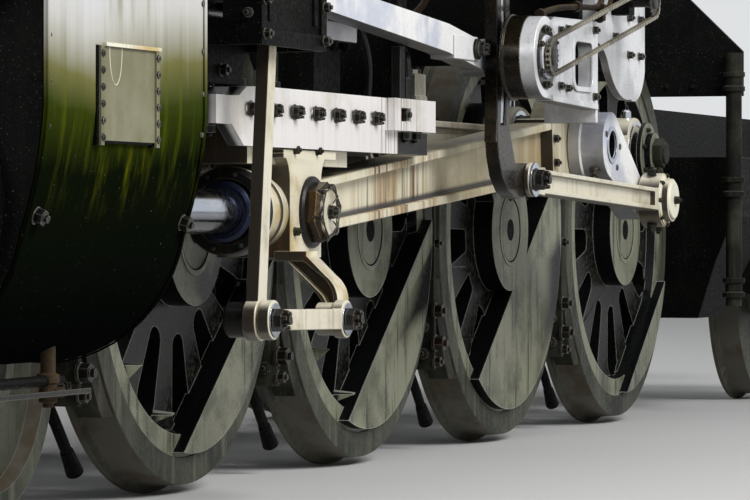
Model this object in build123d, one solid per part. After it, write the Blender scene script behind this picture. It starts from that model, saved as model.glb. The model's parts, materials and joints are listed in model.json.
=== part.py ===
from build123d import *

import os
from math import acos, atan2, cos, degrees, hypot, radians, sin, sqrt

# Running gear of a large steam locomotive, in millimetres.
# Stations run rearwards from the middle of the cylinders. Heights are above the driver axles.
# Widths are distances from the centre line, and the left side, at -Y, is the mirrored one.

# Wheels
driver_radius = 800.0
driver_spacing = 1676.0
first_driver = 2324.0
driver_count = 4
main_driver = 3
tyre_thickness = 89.0
tyre_width = 140.0
back_to_back = 1356.0
flange_depth = 27.0
flange_width = 36.0
flange_tip = 20.0
tread_rise = 5.0
axle_radius = 125.0
truck_wheel_radius = 419.0
truck_axle_radius = 78.0
trailing_wheel_radius = 533.0

# Cranks and rods
crank_radius = 406.0
crank_angles = {-1: 127.0, 1: 37.0}
crank_pin_radius = 85.0
main_pin_radius = 115.0
running_gap = 0.1
side_rod_inner = 875.0
side_rod_width = 90.0
side_rod_height = 140.0
side_rod_eye = 150.0
main_rod_length = 3133.5
main_rod_inner = 1050.0
main_rod_width = 140.0
main_rod_front_height = 160.0
main_rod_rear_height = 220.0
small_end_radius = 125.0
big_end_radius = 190.0
rod_web = 50.0
rod_rim = 28.0

# Cylinders
cylinder_width = 1120.0
cylinder_height = 55.0
cylinder_length = 1045.0
jacket_radius = 408.0
jacket_side = 1586.0
jacket_sheet = 8.0
valve_chest_height = 700.0
piston_rod_radius = 67.0
piston_rod_length = 2120.0

# Crosshead and guide
shoe_length = 900.0
wrist_pin_radius = 75.0
guide_nose = 1470.0
guide_front = 1600.0
guide_length = 1850.0
guide_bottom = 250.0
guide_depth = 180.0
guide_width = 260.0
guide_wall = 50.0
slide_gap = 1.0

# Valve gear
trunnion_station = 3780.0
trunnion_height = 590.0
trunnion_radius = 60.0
link_foot = (4060.0, 175.0)
lever_top = (1570.0, 750.0)
lever_bottom = (1450.0, -260.0)
union_behind = 229.752
union_height = -270.0
return_crank_throw = 206.0
return_crank_lead = 92.7
return_crank_inner = 1240.0
return_crank_width = 90.0
eccentric_rod_inner = 1345.0
eccentric_rod_width = 85.0
link_inner = 1366.0
link_thickness = 44.0
lever_inner = 1360.0
lever_thickness = 40.0
lever_gap = 10.0
radius_rod_thickness = 80.0
union_gap = 5.0
union_thickness = 35.0
bearing_gap = 35.0
bracket_thickness = 50.0
gear_beam_low = 930.0
gear_beam_high = 1050.0
chain_thickness = 20.0

# Boiler seat
saddle_seat = 950.0
boiler_radius = 1000.0

# Frame
frame_inner = 460.0
frame_plate = 140.0
frame_top = 420.0
frame_rail = 200.0
frame_bottom = -380.0
lower_rail = 120.0
jaw_width = 330.0
front_end = -2450.0
rear_end = 11800.0
bumper_depth = 150.0

# Trucks
truck_pivot = -197.0
truck_wheelbase = 2134.0
trailing_axle = 10000.0
trailing_pivot = 8500.0

# Values that follow from those above
axle_height = driver_radius + flange_depth
tyre_inner = back_to_back / 2
tyre_outer = tyre_inner + tyre_width
centre_radius = driver_radius - tyre_thickness
driver_stations = [first_driver + i * driver_spacing for i in range(round(driver_count))]
main_station = first_driver + (main_driver - 1) * driver_spacing
cylinder_back = cylinder_length / 2
side_rod_outer = side_rod_inner + side_rod_width
main_rod_outer = main_rod_inner + main_rod_width
guide_inner = cylinder_width - guide_width / 2
guide_outer = cylinder_width + guide_width / 2
frame_outer = frame_inner + frame_plate
lever_outer = lever_inner + lever_thickness
radius_rod_outer = lever_inner - lever_gap
radius_rod_inner = radius_rod_outer - radius_rod_thickness
union_inner = lever_outer + union_gap
union_outer = union_inner + union_thickness
link_outer = link_inner + link_thickness
bracket_inner = link_outer + bearing_gap
bracket_outer = bracket_inner + bracket_thickness
place = Pos(-(front_end + rear_end) / 2, 0, axle_height)

os.makedirs("parts", exist_ok=True)


def save(name, solids):
    export_step(place * Compound(children=list(solids)), f"parts/{name}.step")


def block(x0, x1, y0, y1, z0, z1):
    centre = Pos((x0 + x1) / 2, (y0 + y1) / 2, (z0 + z1) / 2)
    return centre * Box(x1 - x0, y1 - y0, z1 - z0)


def along_x(y, z, radius, x0, x1):
    return Pos((x0 + x1) / 2, y, z) * Rot(0, 90, 0) * Cylinder(radius, x1 - x0)


def along_y(x, z, radius, y0, y1):
    return Pos(x, (y0 + y1) / 2, z) * Rot(90, 0, 0) * Cylinder(radius, y1 - y0)


def along_z(x, y, radius, z0, z1):
    return Pos(x, y, (z0 + z1) / 2) * Cylinder(radius, z1 - z0)


def side_face(edges):
    # A face drawn in stations and heights.
    return Plane((0, 0, 0), x_dir=(1, 0, 0), z_dir=(0, -1, 0)) * make_face(edges)


def side_plate(edges, y0, y1):
    return Pos(0, y0, 0) * extrude(side_face(edges), amount=y1 - y0, dir=(0, 1, 0))


def outline(*points):
    return Polyline(*points, close=True)


def section_bar(edges, x0, x1):
    # A bar along the locomotive whose section is drawn in widths and heights.
    face = Plane.YZ * make_face(edges)
    return Pos(x0, 0, 0) * extrude(face, amount=x1 - x0, dir=(1, 0, 0))


def turned(points, axis_x=0.0, axis_z=0.0):
    # A solid of revolution about the axle line, from points of radius and width.
    face = Plane.XY * make_face(outline(*points))
    return Pos(axis_x, 0, axis_z) * revolve(face, Axis.Y)


def on_side(side, shape):
    return shape if side > 0 else mirror(shape, about=Plane.XZ)


def both_sides(shapes):
    kept = [shape for shape in shapes]
    return kept + [mirror(shape, about=Plane.XZ) for shape in kept]


def polar(radius, angle, x=0.0, z=0.0):
    return (x + radius * cos(radians(angle)), z + radius * sin(radians(angle)))


def boiler_shell(x0, x1):
    # The room that the boiler above takes.
    return along_x(0, saddle_seat + boiler_radius, boiler_radius, x0, x1)


def rounded_window(x0, x1, z0, z1, corner, y0, y1):
    face = Plane.XZ * Pos((x0 + x1) / 2, (z0 + z1) / 2) * RectangleRounded(x1 - x0, z1 - z0, corner)
    return Pos(0, y0, 0) * extrude(face, amount=y1 - y0, dir=(0, 1, 0))


def pipe(points, radius):
    # A thin pipe through the points, eight-sided to stay light, with mitred corners.
    path = Polyline(*points)
    start = Plane(origin=path @ 0, z_dir=path % 0)
    return sweep(start * RegularPolygon(radius, 8), path=path, transition=Transition.RIGHT)


def meeting(a, a_radius, b, b_radius, sign):
    # Where two arms of known length that hang from points a and b come together.
    span = hypot(b[0] - a[0], b[1] - a[1])
    toward_b = degrees(atan2(b[1] - a[1], b[0] - a[0]))
    inside = (a_radius**2 + span**2 - b_radius**2) / (2 * a_radius * span)
    return polar(a_radius, toward_b + sign * degrees(acos(inside)), *a)


def tapered_bar(front, rear, front_height, rear_height, y0, y1):
    # A straight bar between two pin centres, as deep as each end says.
    angle = degrees(atan2(rear[1] - front[1], rear[0] - front[0]))
    across = angle + 90
    corners = [
        polar(front_height / 2, across, *front),
        polar(-front_height / 2, across, *front),
        polar(-rear_height / 2, across, *rear),
        polar(rear_height / 2, across, *rear),
    ]
    return side_plate(outline(*corners), y0, y1)


def fluted_bar(front, rear, heights, y0, y1, ends, web, rim):
    # The same bar with a flute milled in both faces, which stops short of the two eyes.
    bar = tapered_bar(front, rear, heights[0], heights[1], y0, y1)
    length = hypot(rear[0] - front[0], rear[1] - front[1])
    angle = degrees(atan2(rear[1] - front[1], rear[0] - front[0]))
    start = polar(ends[0], angle, *front)
    stop = polar(length - ends[1], angle, *front)
    slope = (heights[1] - heights[0]) / length
    start_height = heights[0] + slope * ends[0] - 2 * rim
    stop_height = heights[1] - slope * ends[1] - 2 * rim
    depth = (y1 - y0 - web) / 2
    for low, high in ((y0, y0 + depth), (y1 - depth, y1)):
        bar -= tapered_bar(start, stop, start_height, stop_height, low, high)
    return bar


# Driving wheels, tyres and axles

# Chord of each counterweight from the axle, outer end of each crank pin, radius of its collar.
counterweight_chords = [495.0, 390.0, 210.0, 580.0]
pin_ends = [972.0, 985.0, 1035.0, 1050.0]
pin_collars = [0.0, 0.0, 0.0, 128.0]
collar_face = 1000.0
collar_thickness = 20.0
hub_radius = 238.0
hub_face = 850.0
web_inner = 688.0
web_outer = 772.0
rim_inner_radius = 640.0
counterweight_radius = 700.0
opening_inner = 330.0
opening_outer = 560.0
opening_inner_half = 42.0
opening_outer_half = 74.0
openings_in_circle = 12
crank_boss_radius = 165.0
crank_boss_face = 860.0


def tyre_profile(radius, inner_radius):
    back = tyre_inner
    return [
        (inner_radius, back),
        (radius + flange_depth, back),
        (radius + flange_depth, back + flange_tip),
        (radius + tread_rise, back + flange_width),
        (radius - tread_rise / 2, back + tyre_width),
        (inner_radius, back + tyre_width),
    ]


def wheel_opening(angle):
    centre_line = [
        (opening_inner, -opening_inner_half),
        (opening_outer, -opening_outer_half),
        (opening_outer + opening_outer_half, 0.0),
        (opening_outer, opening_outer_half),
        (opening_inner, opening_inner_half),
    ]
    ends = [polar(hypot(u, v), angle + degrees(atan2(v, u))) for u, v in centre_line]
    edges = [
        Line(ends[0], ends[1]),
        ThreePointArc(ends[1], ends[2], ends[3]),
        Line(ends[3], ends[4]),
        Line(ends[4], ends[0]),
    ]
    return side_plate(edges, web_inner - 5, web_outer + 5)


def counterweight(angle, chord):
    reach = degrees(atan2(sqrt(counterweight_radius**2 - chord**2), chord))
    first = polar(counterweight_radius, angle - reach)
    last = polar(counterweight_radius, angle + reach)
    middle = polar(counterweight_radius, angle)
    edges = [ThreePointArc(first, middle, last), Line(last, first)]
    return side_plate(edges, web_outer - 10, hub_face)


def driver_centre(angle, chord, pin_end, pin_radius, collar):
    profile = [
        (0.0, web_inner),
        (centre_radius, web_inner),
        (centre_radius, tyre_outer - 8),
        (rim_inner_radius, tyre_outer - 8),
        (rim_inner_radius - 12, web_outer),
        (hub_radius, web_outer),
        (hub_radius, hub_face),
        (0.0, hub_face),
    ]
    centre = turned(profile)
    step = 360 / openings_in_circle
    for k in range(1, openings_in_circle):
        away = cos(radians(k * step - 180))
        if opening_inner * away > chord:
            continue
        centre -= wheel_opening(angle + k * step)
    centre += counterweight(angle + 180, chord)
    pin_x, pin_z = polar(crank_radius, angle)
    centre += along_y(pin_x, pin_z, crank_boss_radius, web_outer - 20, crank_boss_face)
    neck = 0.62 * crank_boss_radius
    centre += tapered_bar((0, 0), (pin_x, pin_z), 2 * neck, 2 * neck, web_outer - 20, hub_face)
    centre += along_y(pin_x, pin_z, pin_radius, crank_boss_face - 20, pin_end)
    if collar:
        centre += along_y(pin_x, pin_z, collar, collar_face, collar_face + collar_thickness)
    return centre


for number, station in enumerate(driver_stations, start=1):
    is_main = number == main_driver
    pin_radius = main_pin_radius if is_main else crank_pin_radius
    tyre = turned(tyre_profile(driver_radius, centre_radius), station)
    save(f"driver_{number}_tyres", both_sides([tyre]))
    wheelset = along_y(station, 0, axle_radius, -web_inner, web_inner)
    chord, pin_end = counterweight_chords[number - 1], pin_ends[number - 1]
    collar = pin_collars[number - 1]
    for side in (-1, 1):
        wheel = driver_centre(crank_angles[side], chord, pin_end, pin_radius, collar)
        wheelset += on_side(side, Pos(station, 0, 0) * wheel)
    save(f"driver_{number}_wheelset", [wheelset])

# Side rods

for side, label in ((-1, "left"), (1, "right")):
    pins = [polar(crank_radius, crank_angles[side], x) for x in driver_stations]
    rod = None
    for front, rear in zip(pins, pins[1:]):
        ends = (side_rod_eye + 60, side_rod_eye + 60)
        heights = (side_rod_height, side_rod_height)
        span = fluted_bar(front, rear, heights, side_rod_inner, side_rod_outer, ends, 36.0, 24.0)
        rod = span if rod is None else rod + span
    for pin in pins:
        rod += along_y(pin[0], pin[1], side_rod_eye, side_rod_inner, side_rod_outer)
    for number, pin in enumerate(pins, start=1):
        bore = main_pin_radius if number == main_driver else crank_pin_radius
        rod -= along_y(pin[0], pin[1], bore + running_gap, side_rod_inner - 1, side_rod_outer + 1)
    save(f"side_rods_{label}", [on_side(side, rod)])

# Crossheads, guides and main rods

wrist_height = cylinder_height
pin_at = {side: polar(crank_radius, crank_angles[side], main_station) for side in (-1, 1)}
wrist_at = {}
for side, (pin_x, pin_z) in pin_at.items():
    reach = sqrt(main_rod_length**2 - (pin_z - wrist_height) ** 2)
    wrist_at[side] = pin_x - reach
union_rear_at = {side: (wrist - union_behind, union_height) for side, wrist in wrist_at.items()}

guide_roof = 35.0
lip_depth = 25.0
lip_low = 65.0
lip_high = 85.0
cheek_outer = guide_outer - 10
cheek_inner = guide_inner + 10
rod_slot_half = main_rod_width / 2 + 5
shoe_bottom = 200.0
cheek_front = 190.0
cheek_rear = 90.0
cheek_bottom = -85.0
waist_height = 150.0
ledge_front = 245.0
ledge_rear = 228.0
collar_radius = 130.0
collar_length = 60.0
neck_radius = 115.0
gland_radius = 100.0
gland_depth = 25.0
socket_front = 430.0
socket_rear = 170.0
rod_seat = 60.0
arm_front = 210.0
arm_rear = 110.0
arm_web = 35.0
arm_flange = 13.0
nose_low = 311.0
nose_high = 395.0
nose_seat = 30.0
cover_rear = 3118.0
end_block_front = 2990.0
end_block_rear = 3410.0
end_block_low = 325.0
end_block_high = guide_bottom + guide_depth
end_block_reach = 35.0


def guide_section():
    # Half of the channel, then its mirror image, with one lip on each wall.
    low, top = guide_bottom, guide_bottom + guide_depth
    half = guide_width / 2
    wall = half - guide_wall
    right = [
        (half, low),
        (half, top),
        (-half, top),
        (-half, low),
        (-wall, low),
        (-wall, low + lip_low),
        (-wall + lip_depth, low + lip_low),
        (-wall + lip_depth, low + lip_high),
        (-wall, low + lip_high),
        (-wall, top - guide_roof),
        (wall, top - guide_roof),
        (wall, low + lip_high),
        (wall - lip_depth, low + lip_high),
        (wall - lip_depth, low + lip_low),
        (wall, low + lip_low),
        (wall, low),
    ]
    return [(cylinder_width + y, z) for y, z in right]


def shoe_section():
    # The head that fills the channel with the slide's gap all round.
    low, top = guide_bottom, guide_bottom + guide_depth - guide_roof - slide_gap
    wide = guide_width / 2 - guide_wall - slide_gap
    narrow = wide - lip_depth
    half = [
        (wide, shoe_bottom),
        (wide, low + lip_low - slide_gap),
        (narrow, low + lip_low - slide_gap),
        (narrow, low + lip_high + slide_gap),
        (wide, low + lip_high + slide_gap),
        (wide, top),
    ]
    points = half + [(-y, z) for y, z in reversed(half)]
    return [(cylinder_width + y, z) for y, z in points]


def cheek_edges(wrist):
    # The cheek of the crosshead, waisted where it meets the shoe.
    front, rear = wrist - cheek_front, wrist + cheek_rear
    flare = shoe_bottom + 35
    return [
        Line((front, cheek_bottom), (rear, cheek_bottom)),
        Line((rear, cheek_bottom), (rear, waist_height)),
        ThreePointArc((rear, waist_height), (rear + 16, waist_height + 50), (rear + 60, flare)),
        Line((rear + 60, flare), (front - 60, flare)),
        ThreePointArc((front - 60, flare), (front - 16, waist_height + 50), (front, waist_height)),
        Line((front, waist_height), (front, cheek_bottom)),
    ]


def arm_edges(inset):
    # The arm that swings out and down to the union link, in widths and heights.
    inner, outer = union_inner - 50 + inset, union_inner - 4 - inset
    low, high = union_height - 30 + inset, cheek_bottom + 5 - inset
    return [
        Line((inner - 130, high), (inner - 28, -188)),
        ThreePointArc((inner - 28, -188), (inner - 7, -215), (inner, -245)),
        Line((inner, -245), (inner, low)),
        Line((inner, low), (outer, low)),
        Line((outer, low), (outer, -215)),
        ThreePointArc((outer, -215), (outer - 9, -175), (outer - 38, -140)),
        Line((outer - 38, -140), (outer - 100, high)),
        Line((outer - 100, high), (inner - 130, high)),
    ]


lever_span = hypot(lever_top[0] - lever_bottom[0], lever_top[1] - lever_bottom[1])
union_length = hypot(union_rear_at[-1][0] - lever_bottom[0], union_height - lever_bottom[1])


def lever_foot(union_pin):
    # The lower pin of the combination lever, from where the union link's rear pin stands.
    return meeting(lever_top, lever_span, union_pin, union_length, -1)


guide_back = guide_front + guide_length
guides = section_bar(outline(*guide_section()), guide_front, guide_back)
front_corner = outline(
    (guide_front - 1, guide_bottom - 1),
    (guide_front + 100, guide_bottom - 1),
    (guide_front, nose_low),
    (guide_front - 1, nose_low),
)
front_top = outline(
    (guide_front - 1, nose_high),
    (guide_front + 60, nose_high + 3),
    (guide_front + 120, guide_bottom + guide_depth - 5),
    (guide_front + 270, guide_bottom + guide_depth + 1),
    (guide_front - 1, guide_bottom + guide_depth + 1),
)
guides -= side_plate(front_corner, guide_inner - 1, guide_outer + 1)
guides -= side_plate(front_top, guide_inner - 1, guide_outer + 1)
guides -= block(cover_rear, guide_back + 1, guide_outer - 8, guide_outer + 1, 0, end_block_low)
guides += block(guide_nose, guide_front + nose_seat, guide_inner, guide_outer, nose_low, nose_high)
end_block = block(
    end_block_front, end_block_rear, guide_outer - 10, guide_outer + end_block_reach, end_block_low, end_block_high
)
end_block -= rounded_window(
    end_block_front + 60, end_block_front + 160, end_block_low + 30, end_block_high - 30, 5.0,
    guide_outer + end_block_reach - 20, guide_outer + end_block_reach + 1,
)
guides += end_block
save("crosshead_guides", both_sides([guides]))

for side, label in ((-1, "left"), (1, "right")):
    wrist = wrist_at[side]
    shoe_front = wrist - shoe_length / 2
    head = section_bar(outline(*shoe_section()), shoe_front, shoe_front + shoe_length)
    head += block(
        wrist - ledge_front, wrist + ledge_rear, cheek_inner, cheek_outer, shoe_bottom + 20, guide_bottom - 5
    )
    cheeks = side_plate(cheek_edges(wrist), cheek_inner, cheek_outer)
    slot_inner = cylinder_width - rod_slot_half
    slot_outer = cylinder_width + rod_slot_half
    cheeks -= block(wrist - 140, wrist + 400, slot_inner, slot_outer, cheek_bottom - 1, shoe_bottom)
    head += cheeks
    line = (cylinder_width, cylinder_height)
    collar_back = wrist - socket_front + collar_length
    rod_end = wrist - socket_rear - rod_seat
    head += along_x(*line, collar_radius, wrist - socket_front, collar_back)
    head += along_x(*line, neck_radius, collar_back, wrist - socket_rear)
    head -= along_x(*line, gland_radius, wrist - socket_front - 1, wrist - socket_front + gland_depth)
    head -= along_x(*line, piston_rod_radius, wrist - socket_front - 1, rod_end)
    head += along_y(wrist, wrist_height, wrist_pin_radius, cheek_inner, cheek_outer + 30)
    arm_start, arm_stop = wrist - arm_front, wrist - arm_rear
    arm = section_bar(arm_edges(0), arm_start, arm_stop)
    arm -= section_bar(arm_edges(arm_flange), arm_start - 1, arm_start + arm_web)
    head += arm
    head += block(arm_start, arm_stop, slot_outer, union_inner - 105, cheek_bottom - 10, cheek_bottom + 20)
    rear = union_rear_at[side]
    head += along_y(*rear, 50, union_inner - 55, union_inner)
    save(f"crosshead_{label}", [on_side(side, head)])
    piston_rod = along_x(*line, piston_rod_radius, rod_end - piston_rod_length, rod_end)
    save(f"piston_rod_{label}", [on_side(side, piston_rod)])

    front = lever_foot(rear)
    union = tapered_bar(front, rear, 62, 62, union_inner, union_outer)
    union += along_y(front[0], front[1], 58, union_inner, union_outer)
    union += along_y(rear[0], rear[1], 58, union_inner, union_outer)
    save(f"union_link_{label}", [on_side(side, union)])

    # Main rod
    front = (wrist, wrist_height)
    rear = pin_at[side]
    heights = (main_rod_front_height, main_rod_rear_height)
    ends = (small_end_radius + 70, big_end_radius + 110)
    rod = fluted_bar(front, rear, heights, main_rod_inner, main_rod_outer, ends, rod_web, rod_rim)
    rod += along_y(*front, small_end_radius, main_rod_inner, main_rod_outer)
    rod += along_y(*rear, big_end_radius, main_rod_inner, main_rod_outer)
    rod -= along_y(*front, wrist_pin_radius + running_gap, main_rod_inner - 1, main_rod_outer + 1)
    rod -= along_y(*rear, main_pin_radius + running_gap, main_rod_inner - 1, main_rod_outer + 1)
    save(f"main_rod_{label}", [on_side(side, rod)])

# Return cranks, eccentric rods and links

return_crank_outer = return_crank_inner + return_crank_width
eccentric_outer = eccentric_rod_inner + eccentric_rod_width
trunnion = (trunnion_station, trunnion_height)
left_tip = polar(return_crank_throw, crank_angles[-1] - return_crank_lead, main_station)
eccentric_length = hypot(left_tip[0] - link_foot[0], left_tip[1] - link_foot[1])
foot_drop = hypot(link_foot[0] - trunnion_station, link_foot[1] - trunnion_height)
link_arc_half = 290.0
link_band_half = 70.0
link_slot_half = 26.0
link_slot_end = 60.0
link_elbow = (3900.0, 165.0)
link_pin_radius = 30.0
fork_depth = 150.0
eccentric_eye = 105.0
eccentric_cap = 84.0
crank_recess = 53.0
fork_gap = 3.0


def bowed(half_width, half_length):
    # A strip that curves about the far end of the radius rod.
    reach = trunnion_station - lever_top[0]
    bow = reach - sqrt(reach**2 - link_arc_half**2)
    top = (trunnion_station - bow, trunnion_height + half_length)
    bottom = (trunnion_station - bow, trunnion_height - half_length)
    front = [(x - half_width, z) for x, z in (top, trunnion, bottom)]
    back = [(x + half_width, z) for x, z in (bottom, trunnion, top)]
    return [
        ThreePointArc(*front),
        Line(front[2], back[0]),
        ThreePointArc(*back),
        Line(back[2], front[0]),
    ]


def expansion_link():
    # Drawn as the left side's stands.
    link = side_plate(bowed(link_band_half, link_arc_half), link_inner, link_outer)
    slot_length = link_arc_half - link_slot_end
    link -= side_plate(bowed(link_slot_half, slot_length), link_inner - 1, link_outer + 1)
    heel = (trunnion_station + 20, trunnion_height - link_arc_half + 20)
    link += tapered_bar(heel, link_elbow, 110, 90, link_inner, link_outer)
    link += along_y(*link_elbow, 45, link_inner, link_outer)
    link += tapered_bar(link_elbow, link_foot, 90, 80, link_inner, link_outer)
    link += along_y(*link_foot, 58, link_inner, link_outer)
    link += along_y(*trunnion, link_band_half + 20, link_outer, link_outer + 14)
    link += along_y(*trunnion, trunnion_radius, link_outer, trunnion_end)
    return link - along_y(*link_foot, link_pin_radius + running_gap, link_inner - 1, link_outer + 1)


trunnion_end = bracket_outer + 5
for side, label in ((-1, "left"), (1, "right")):
    pin = pin_at[side]
    tip = polar(return_crank_throw, crank_angles[side] - return_crank_lead, main_station)
    crank = along_y(*pin, main_pin_radius, main_rod_inner - 5, return_crank_inner)
    crank += along_y(*pin, main_pin_radius + 30, main_rod_outer + 5, return_crank_inner)
    crank += tapered_bar(pin, tip, 250, 150, return_crank_inner, return_crank_outer)
    crank += along_y(*pin, 125, return_crank_inner, return_crank_outer)
    crank += along_y(*tip, 75, return_crank_inner, return_crank_outer)
    crank += along_y(*tip, 55, return_crank_outer, eccentric_rod_inner - 5)
    crank -= along_y(*pin, crank_recess, return_crank_outer - 25, return_crank_outer + 1)
    save(f"return_crank_{label}", [on_side(side, crank)])

    foot = meeting(trunnion, foot_drop, tip, eccentric_length, -1)
    rod_angle = degrees(atan2(tip[1] - foot[1], tip[0] - foot[0]))
    fork_end = polar(fork_depth, rod_angle, *foot)
    rod = fluted_bar(
        fork_end, tip, (85, 85), eccentric_rod_inner, eccentric_outer, (60, 150), 40.0, 16.0
    )
    rod += tapered_bar(foot, fork_end, 90, 100, eccentric_rod_inner, eccentric_outer)
    rod += along_y(*foot, 60, eccentric_rod_inner, eccentric_outer)
    rod += along_y(*tip, eccentric_eye, eccentric_rod_inner, eccentric_outer)
    rod += along_y(*tip, eccentric_cap, eccentric_outer, eccentric_outer + 30)
    fork_slot = (polar(-80, rod_angle, *foot), polar(fork_depth - 30, rod_angle, *foot))
    rod -= tapered_bar(*fork_slot, 200, 200, link_inner - fork_gap, link_outer + fork_gap)
    rod += along_y(*foot, link_pin_radius, eccentric_rod_inner, eccentric_outer)
    save(f"eccentric_rod_{label}", [on_side(side, rod)])

    bearing = degrees(atan2(foot[1] - trunnion_height, foot[0] - trunnion_station))
    rest_foot = degrees(atan2(link_foot[1] - trunnion_height, link_foot[0] - trunnion_station))
    about = Pos(trunnion_station, 0, trunnion_height)
    link = about * Rot(0, rest_foot - bearing, 0) * about.inverse() * expansion_link()
    save(f"link_{label}", [on_side(side, link)])

# Combination levers

for side, label in ((-1, "left"), (1, "right")):
    bottom = lever_foot(union_rear_at[side])
    lever = tapered_bar(bottom, lever_top, 72, 58, lever_inner, lever_outer)
    lever += along_y(*bottom, 62, lever_inner, lever_outer)
    lever += along_y(*lever_top, 50, lever_inner, lever_outer)
    save(f"combination_lever_{label}", [on_side(side, lever)])

# Cylinders with their saddle, jackets and heads

chest_radius = 360.0
chest_foot = 300.0
chest_height = 800.0
chest_middle = jacket_side - chest_radius
jacket_inner = cylinder_width - jacket_radius
lagging = 12.0
cylinder_seat = 760.0
head_radius = 350.0
head_depth = 65.0
gland_boss_radius = 165.0
gland_boss_depth = 125.0
valve_width = 1290.0
valve_head_radius = 212.0
facet_point = (522.0, 916.0, -115.0)
facet_slope = 1.6
saddle_half = 620.0
saddle_low = 80.0
saddle_high = 720.0
pivot_seat = 330.0
truck_pad_low = -60.0


def jacket_outline(inset):
    low = jacket_radius - inset
    side = jacket_side - inset
    chest = chest_radius - inset
    under = polar(low, -10, cylinder_width, cylinder_height)
    return [
        ThreePointArc(
            (chest_middle - chest, chest_height),
            (chest_middle, chest_height + chest),
            (side, chest_height),
        ),
        Line((side, chest_height), (side, chest_foot)),
        ThreePointArc((side, chest_foot), (side - 20, chest_foot / 2), under),
        ThreePointArc(
            under,
            (cylinder_width, cylinder_height - low),
            (cylinder_width - low, cylinder_height),
        ),
        Line((cylinder_width - low, cylinder_height), (cylinder_width - low, chest_foot + 50)),
        Line((cylinder_width - low, chest_foot + 50), (chest_middle - chest, chest_height)),
    ]


def wheel_facet():
    # What is planed off the lower inner corner at a slant, so that the truck's wheels can swing.
    slant = Plane(origin=facet_point, z_dir=(-facet_slope, facet_slope, 1))
    return slant * Pos(0, 0, -jacket_radius) * Box(5 * jacket_radius, 5 * jacket_radius, 2 * jacket_radius)


front_face, back_face = -cylinder_back, cylinder_back
front_seat, back_seat = front_face + 20, back_face - 20
facet = wheel_facet()
jacket = section_bar(jacket_outline(0), front_face, back_face)
jacket -= section_bar(jacket_outline(jacket_sheet), front_face - 1, back_face + 1)
jacket -= block(front_face - 1, back_face + 1, 0, 1000, saddle_low - 20, chest_height + 100)
jacket -= facet
save("cylinder_jackets", both_sides([jacket]))

line = (cylinder_width, cylinder_height)
cylinder = section_bar(jacket_outline(jacket_sheet + lagging), front_seat, back_seat)
cylinder -= block(front_seat - 1, back_seat + 1, 0, cylinder_seat, -jacket_radius, 2 * chest_height)
cylinder -= facet
cylinder -= along_x(*line, piston_rod_radius + running_gap, front_seat + 50, back_seat + 1)
save("cylinders", both_sides([cylinder]))

cover_back = back_seat + head_depth
gland_back = cover_back + gland_boss_depth
front_cover = along_x(*line, head_radius, front_seat - head_depth, front_seat)
rear_cover = along_x(*line, head_radius, back_seat, cover_back) - facet
rear_cover += along_x(*line, gland_boss_radius, cover_back, gland_back)
rear_cover -= along_x(*line, piston_rod_radius + running_gap, back_seat - 1, gland_back + 1)
covers = [front_cover, rear_cover]
for x0, x1 in ((front_seat - head_depth, front_seat), (back_seat, cover_back)):
    covers.append(along_x(valve_width, valve_chest_height, valve_head_radius, x0, x1))
save("cylinder_covers", both_sides(covers))

saddle = block(front_seat, back_seat, 0, cylinder_seat, saddle_low, saddle_high)
saddle += block(front_seat, back_seat, 0, saddle_half, saddle_high - 10, saddle_seat + 200)
saddle += block(-pivot_seat, pivot_seat, 0, 400, truck_pad_low, saddle_low + 10)
saddle -= boiler_shell(front_face, back_face)
saddle -= block(front_face, back_face, frame_inner - 0.5, frame_outer + 0.5, saddle_low - 1, frame_top + 0.5)
saddle -= section_bar(jacket_outline(jacket_sheet + lagging), front_face, back_face)
save("cylinder_saddle", [saddle + mirror(saddle, about=Plane.XZ)])

# Main frame

rail_low, rail_high = frame_bottom + lower_rail, frame_top - frame_rail
leg = 110.0
jaw_half = jaw_width / 2
front_rail_bottom = 120.0
rear_rail_bottom, rear_rail_top = 330.0, 560.0
drag_box_length = 620.0
pivot_seat_low = 80.0


def frame_window(low_x, high_x, top):
    return block(low_x, high_x, frame_inner - 1, frame_outer + 1, rail_low, top)


splice_front, splice_back = 1450.0, 8300.0
splice_length = 200.0

front_rail = block(
    front_end + bumper_depth, splice_front, frame_inner, frame_outer, front_rail_bottom, frame_top
)

plate = block(splice_front, splice_back, frame_inner, frame_outer, frame_bottom, frame_top)
plate += block(
    splice_back - splice_length, splice_back, frame_inner, frame_outer, rear_rail_bottom, rear_rail_top
)
for x in driver_stations:
    plate -= frame_window(x - jaw_half, x + jaw_half, rail_high - 20)
for front, rear in zip(driver_stations, driver_stations[1:]):
    plate -= frame_window(front + jaw_half + leg, rear - jaw_half - leg, rail_high)
plate -= frame_window(splice_front + leg, first_driver - jaw_half - leg, rail_high)
last = driver_stations[-1]
plate -= frame_window(last + jaw_half + leg, splice_back - leg, rail_high)
save("main_frame_left", [on_side(-1, plate)])
save("main_frame_right", [plate])

drag_front = rear_end - drag_box_length
rear_rail = block(splice_back, drag_front, frame_inner, frame_outer, rear_rail_bottom, rear_rail_top)
save("frame_rails", both_sides([front_rail, rear_rail]))

# Station of each cross tie's front and back, and its lowest and highest height
tie_table = [
    (-1700, -1560, 150, 400),
    (1500, 1640, 240, 400),
    (3100, 3220, 240, 400),
    (4780, 4900, 240, 400),
    (6450, 6570, 240, 400),
    (8210, 8290, 340, 540),
    (8350, 8650, 330, 540),
    (9300, 9420, 340, 540),
]
ties = [block(x0, x1, -frame_inner, frame_inner, z0, z1) for x0, x1, z0, z1 in tie_table]
save("frame_cross_ties", ties)

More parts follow.
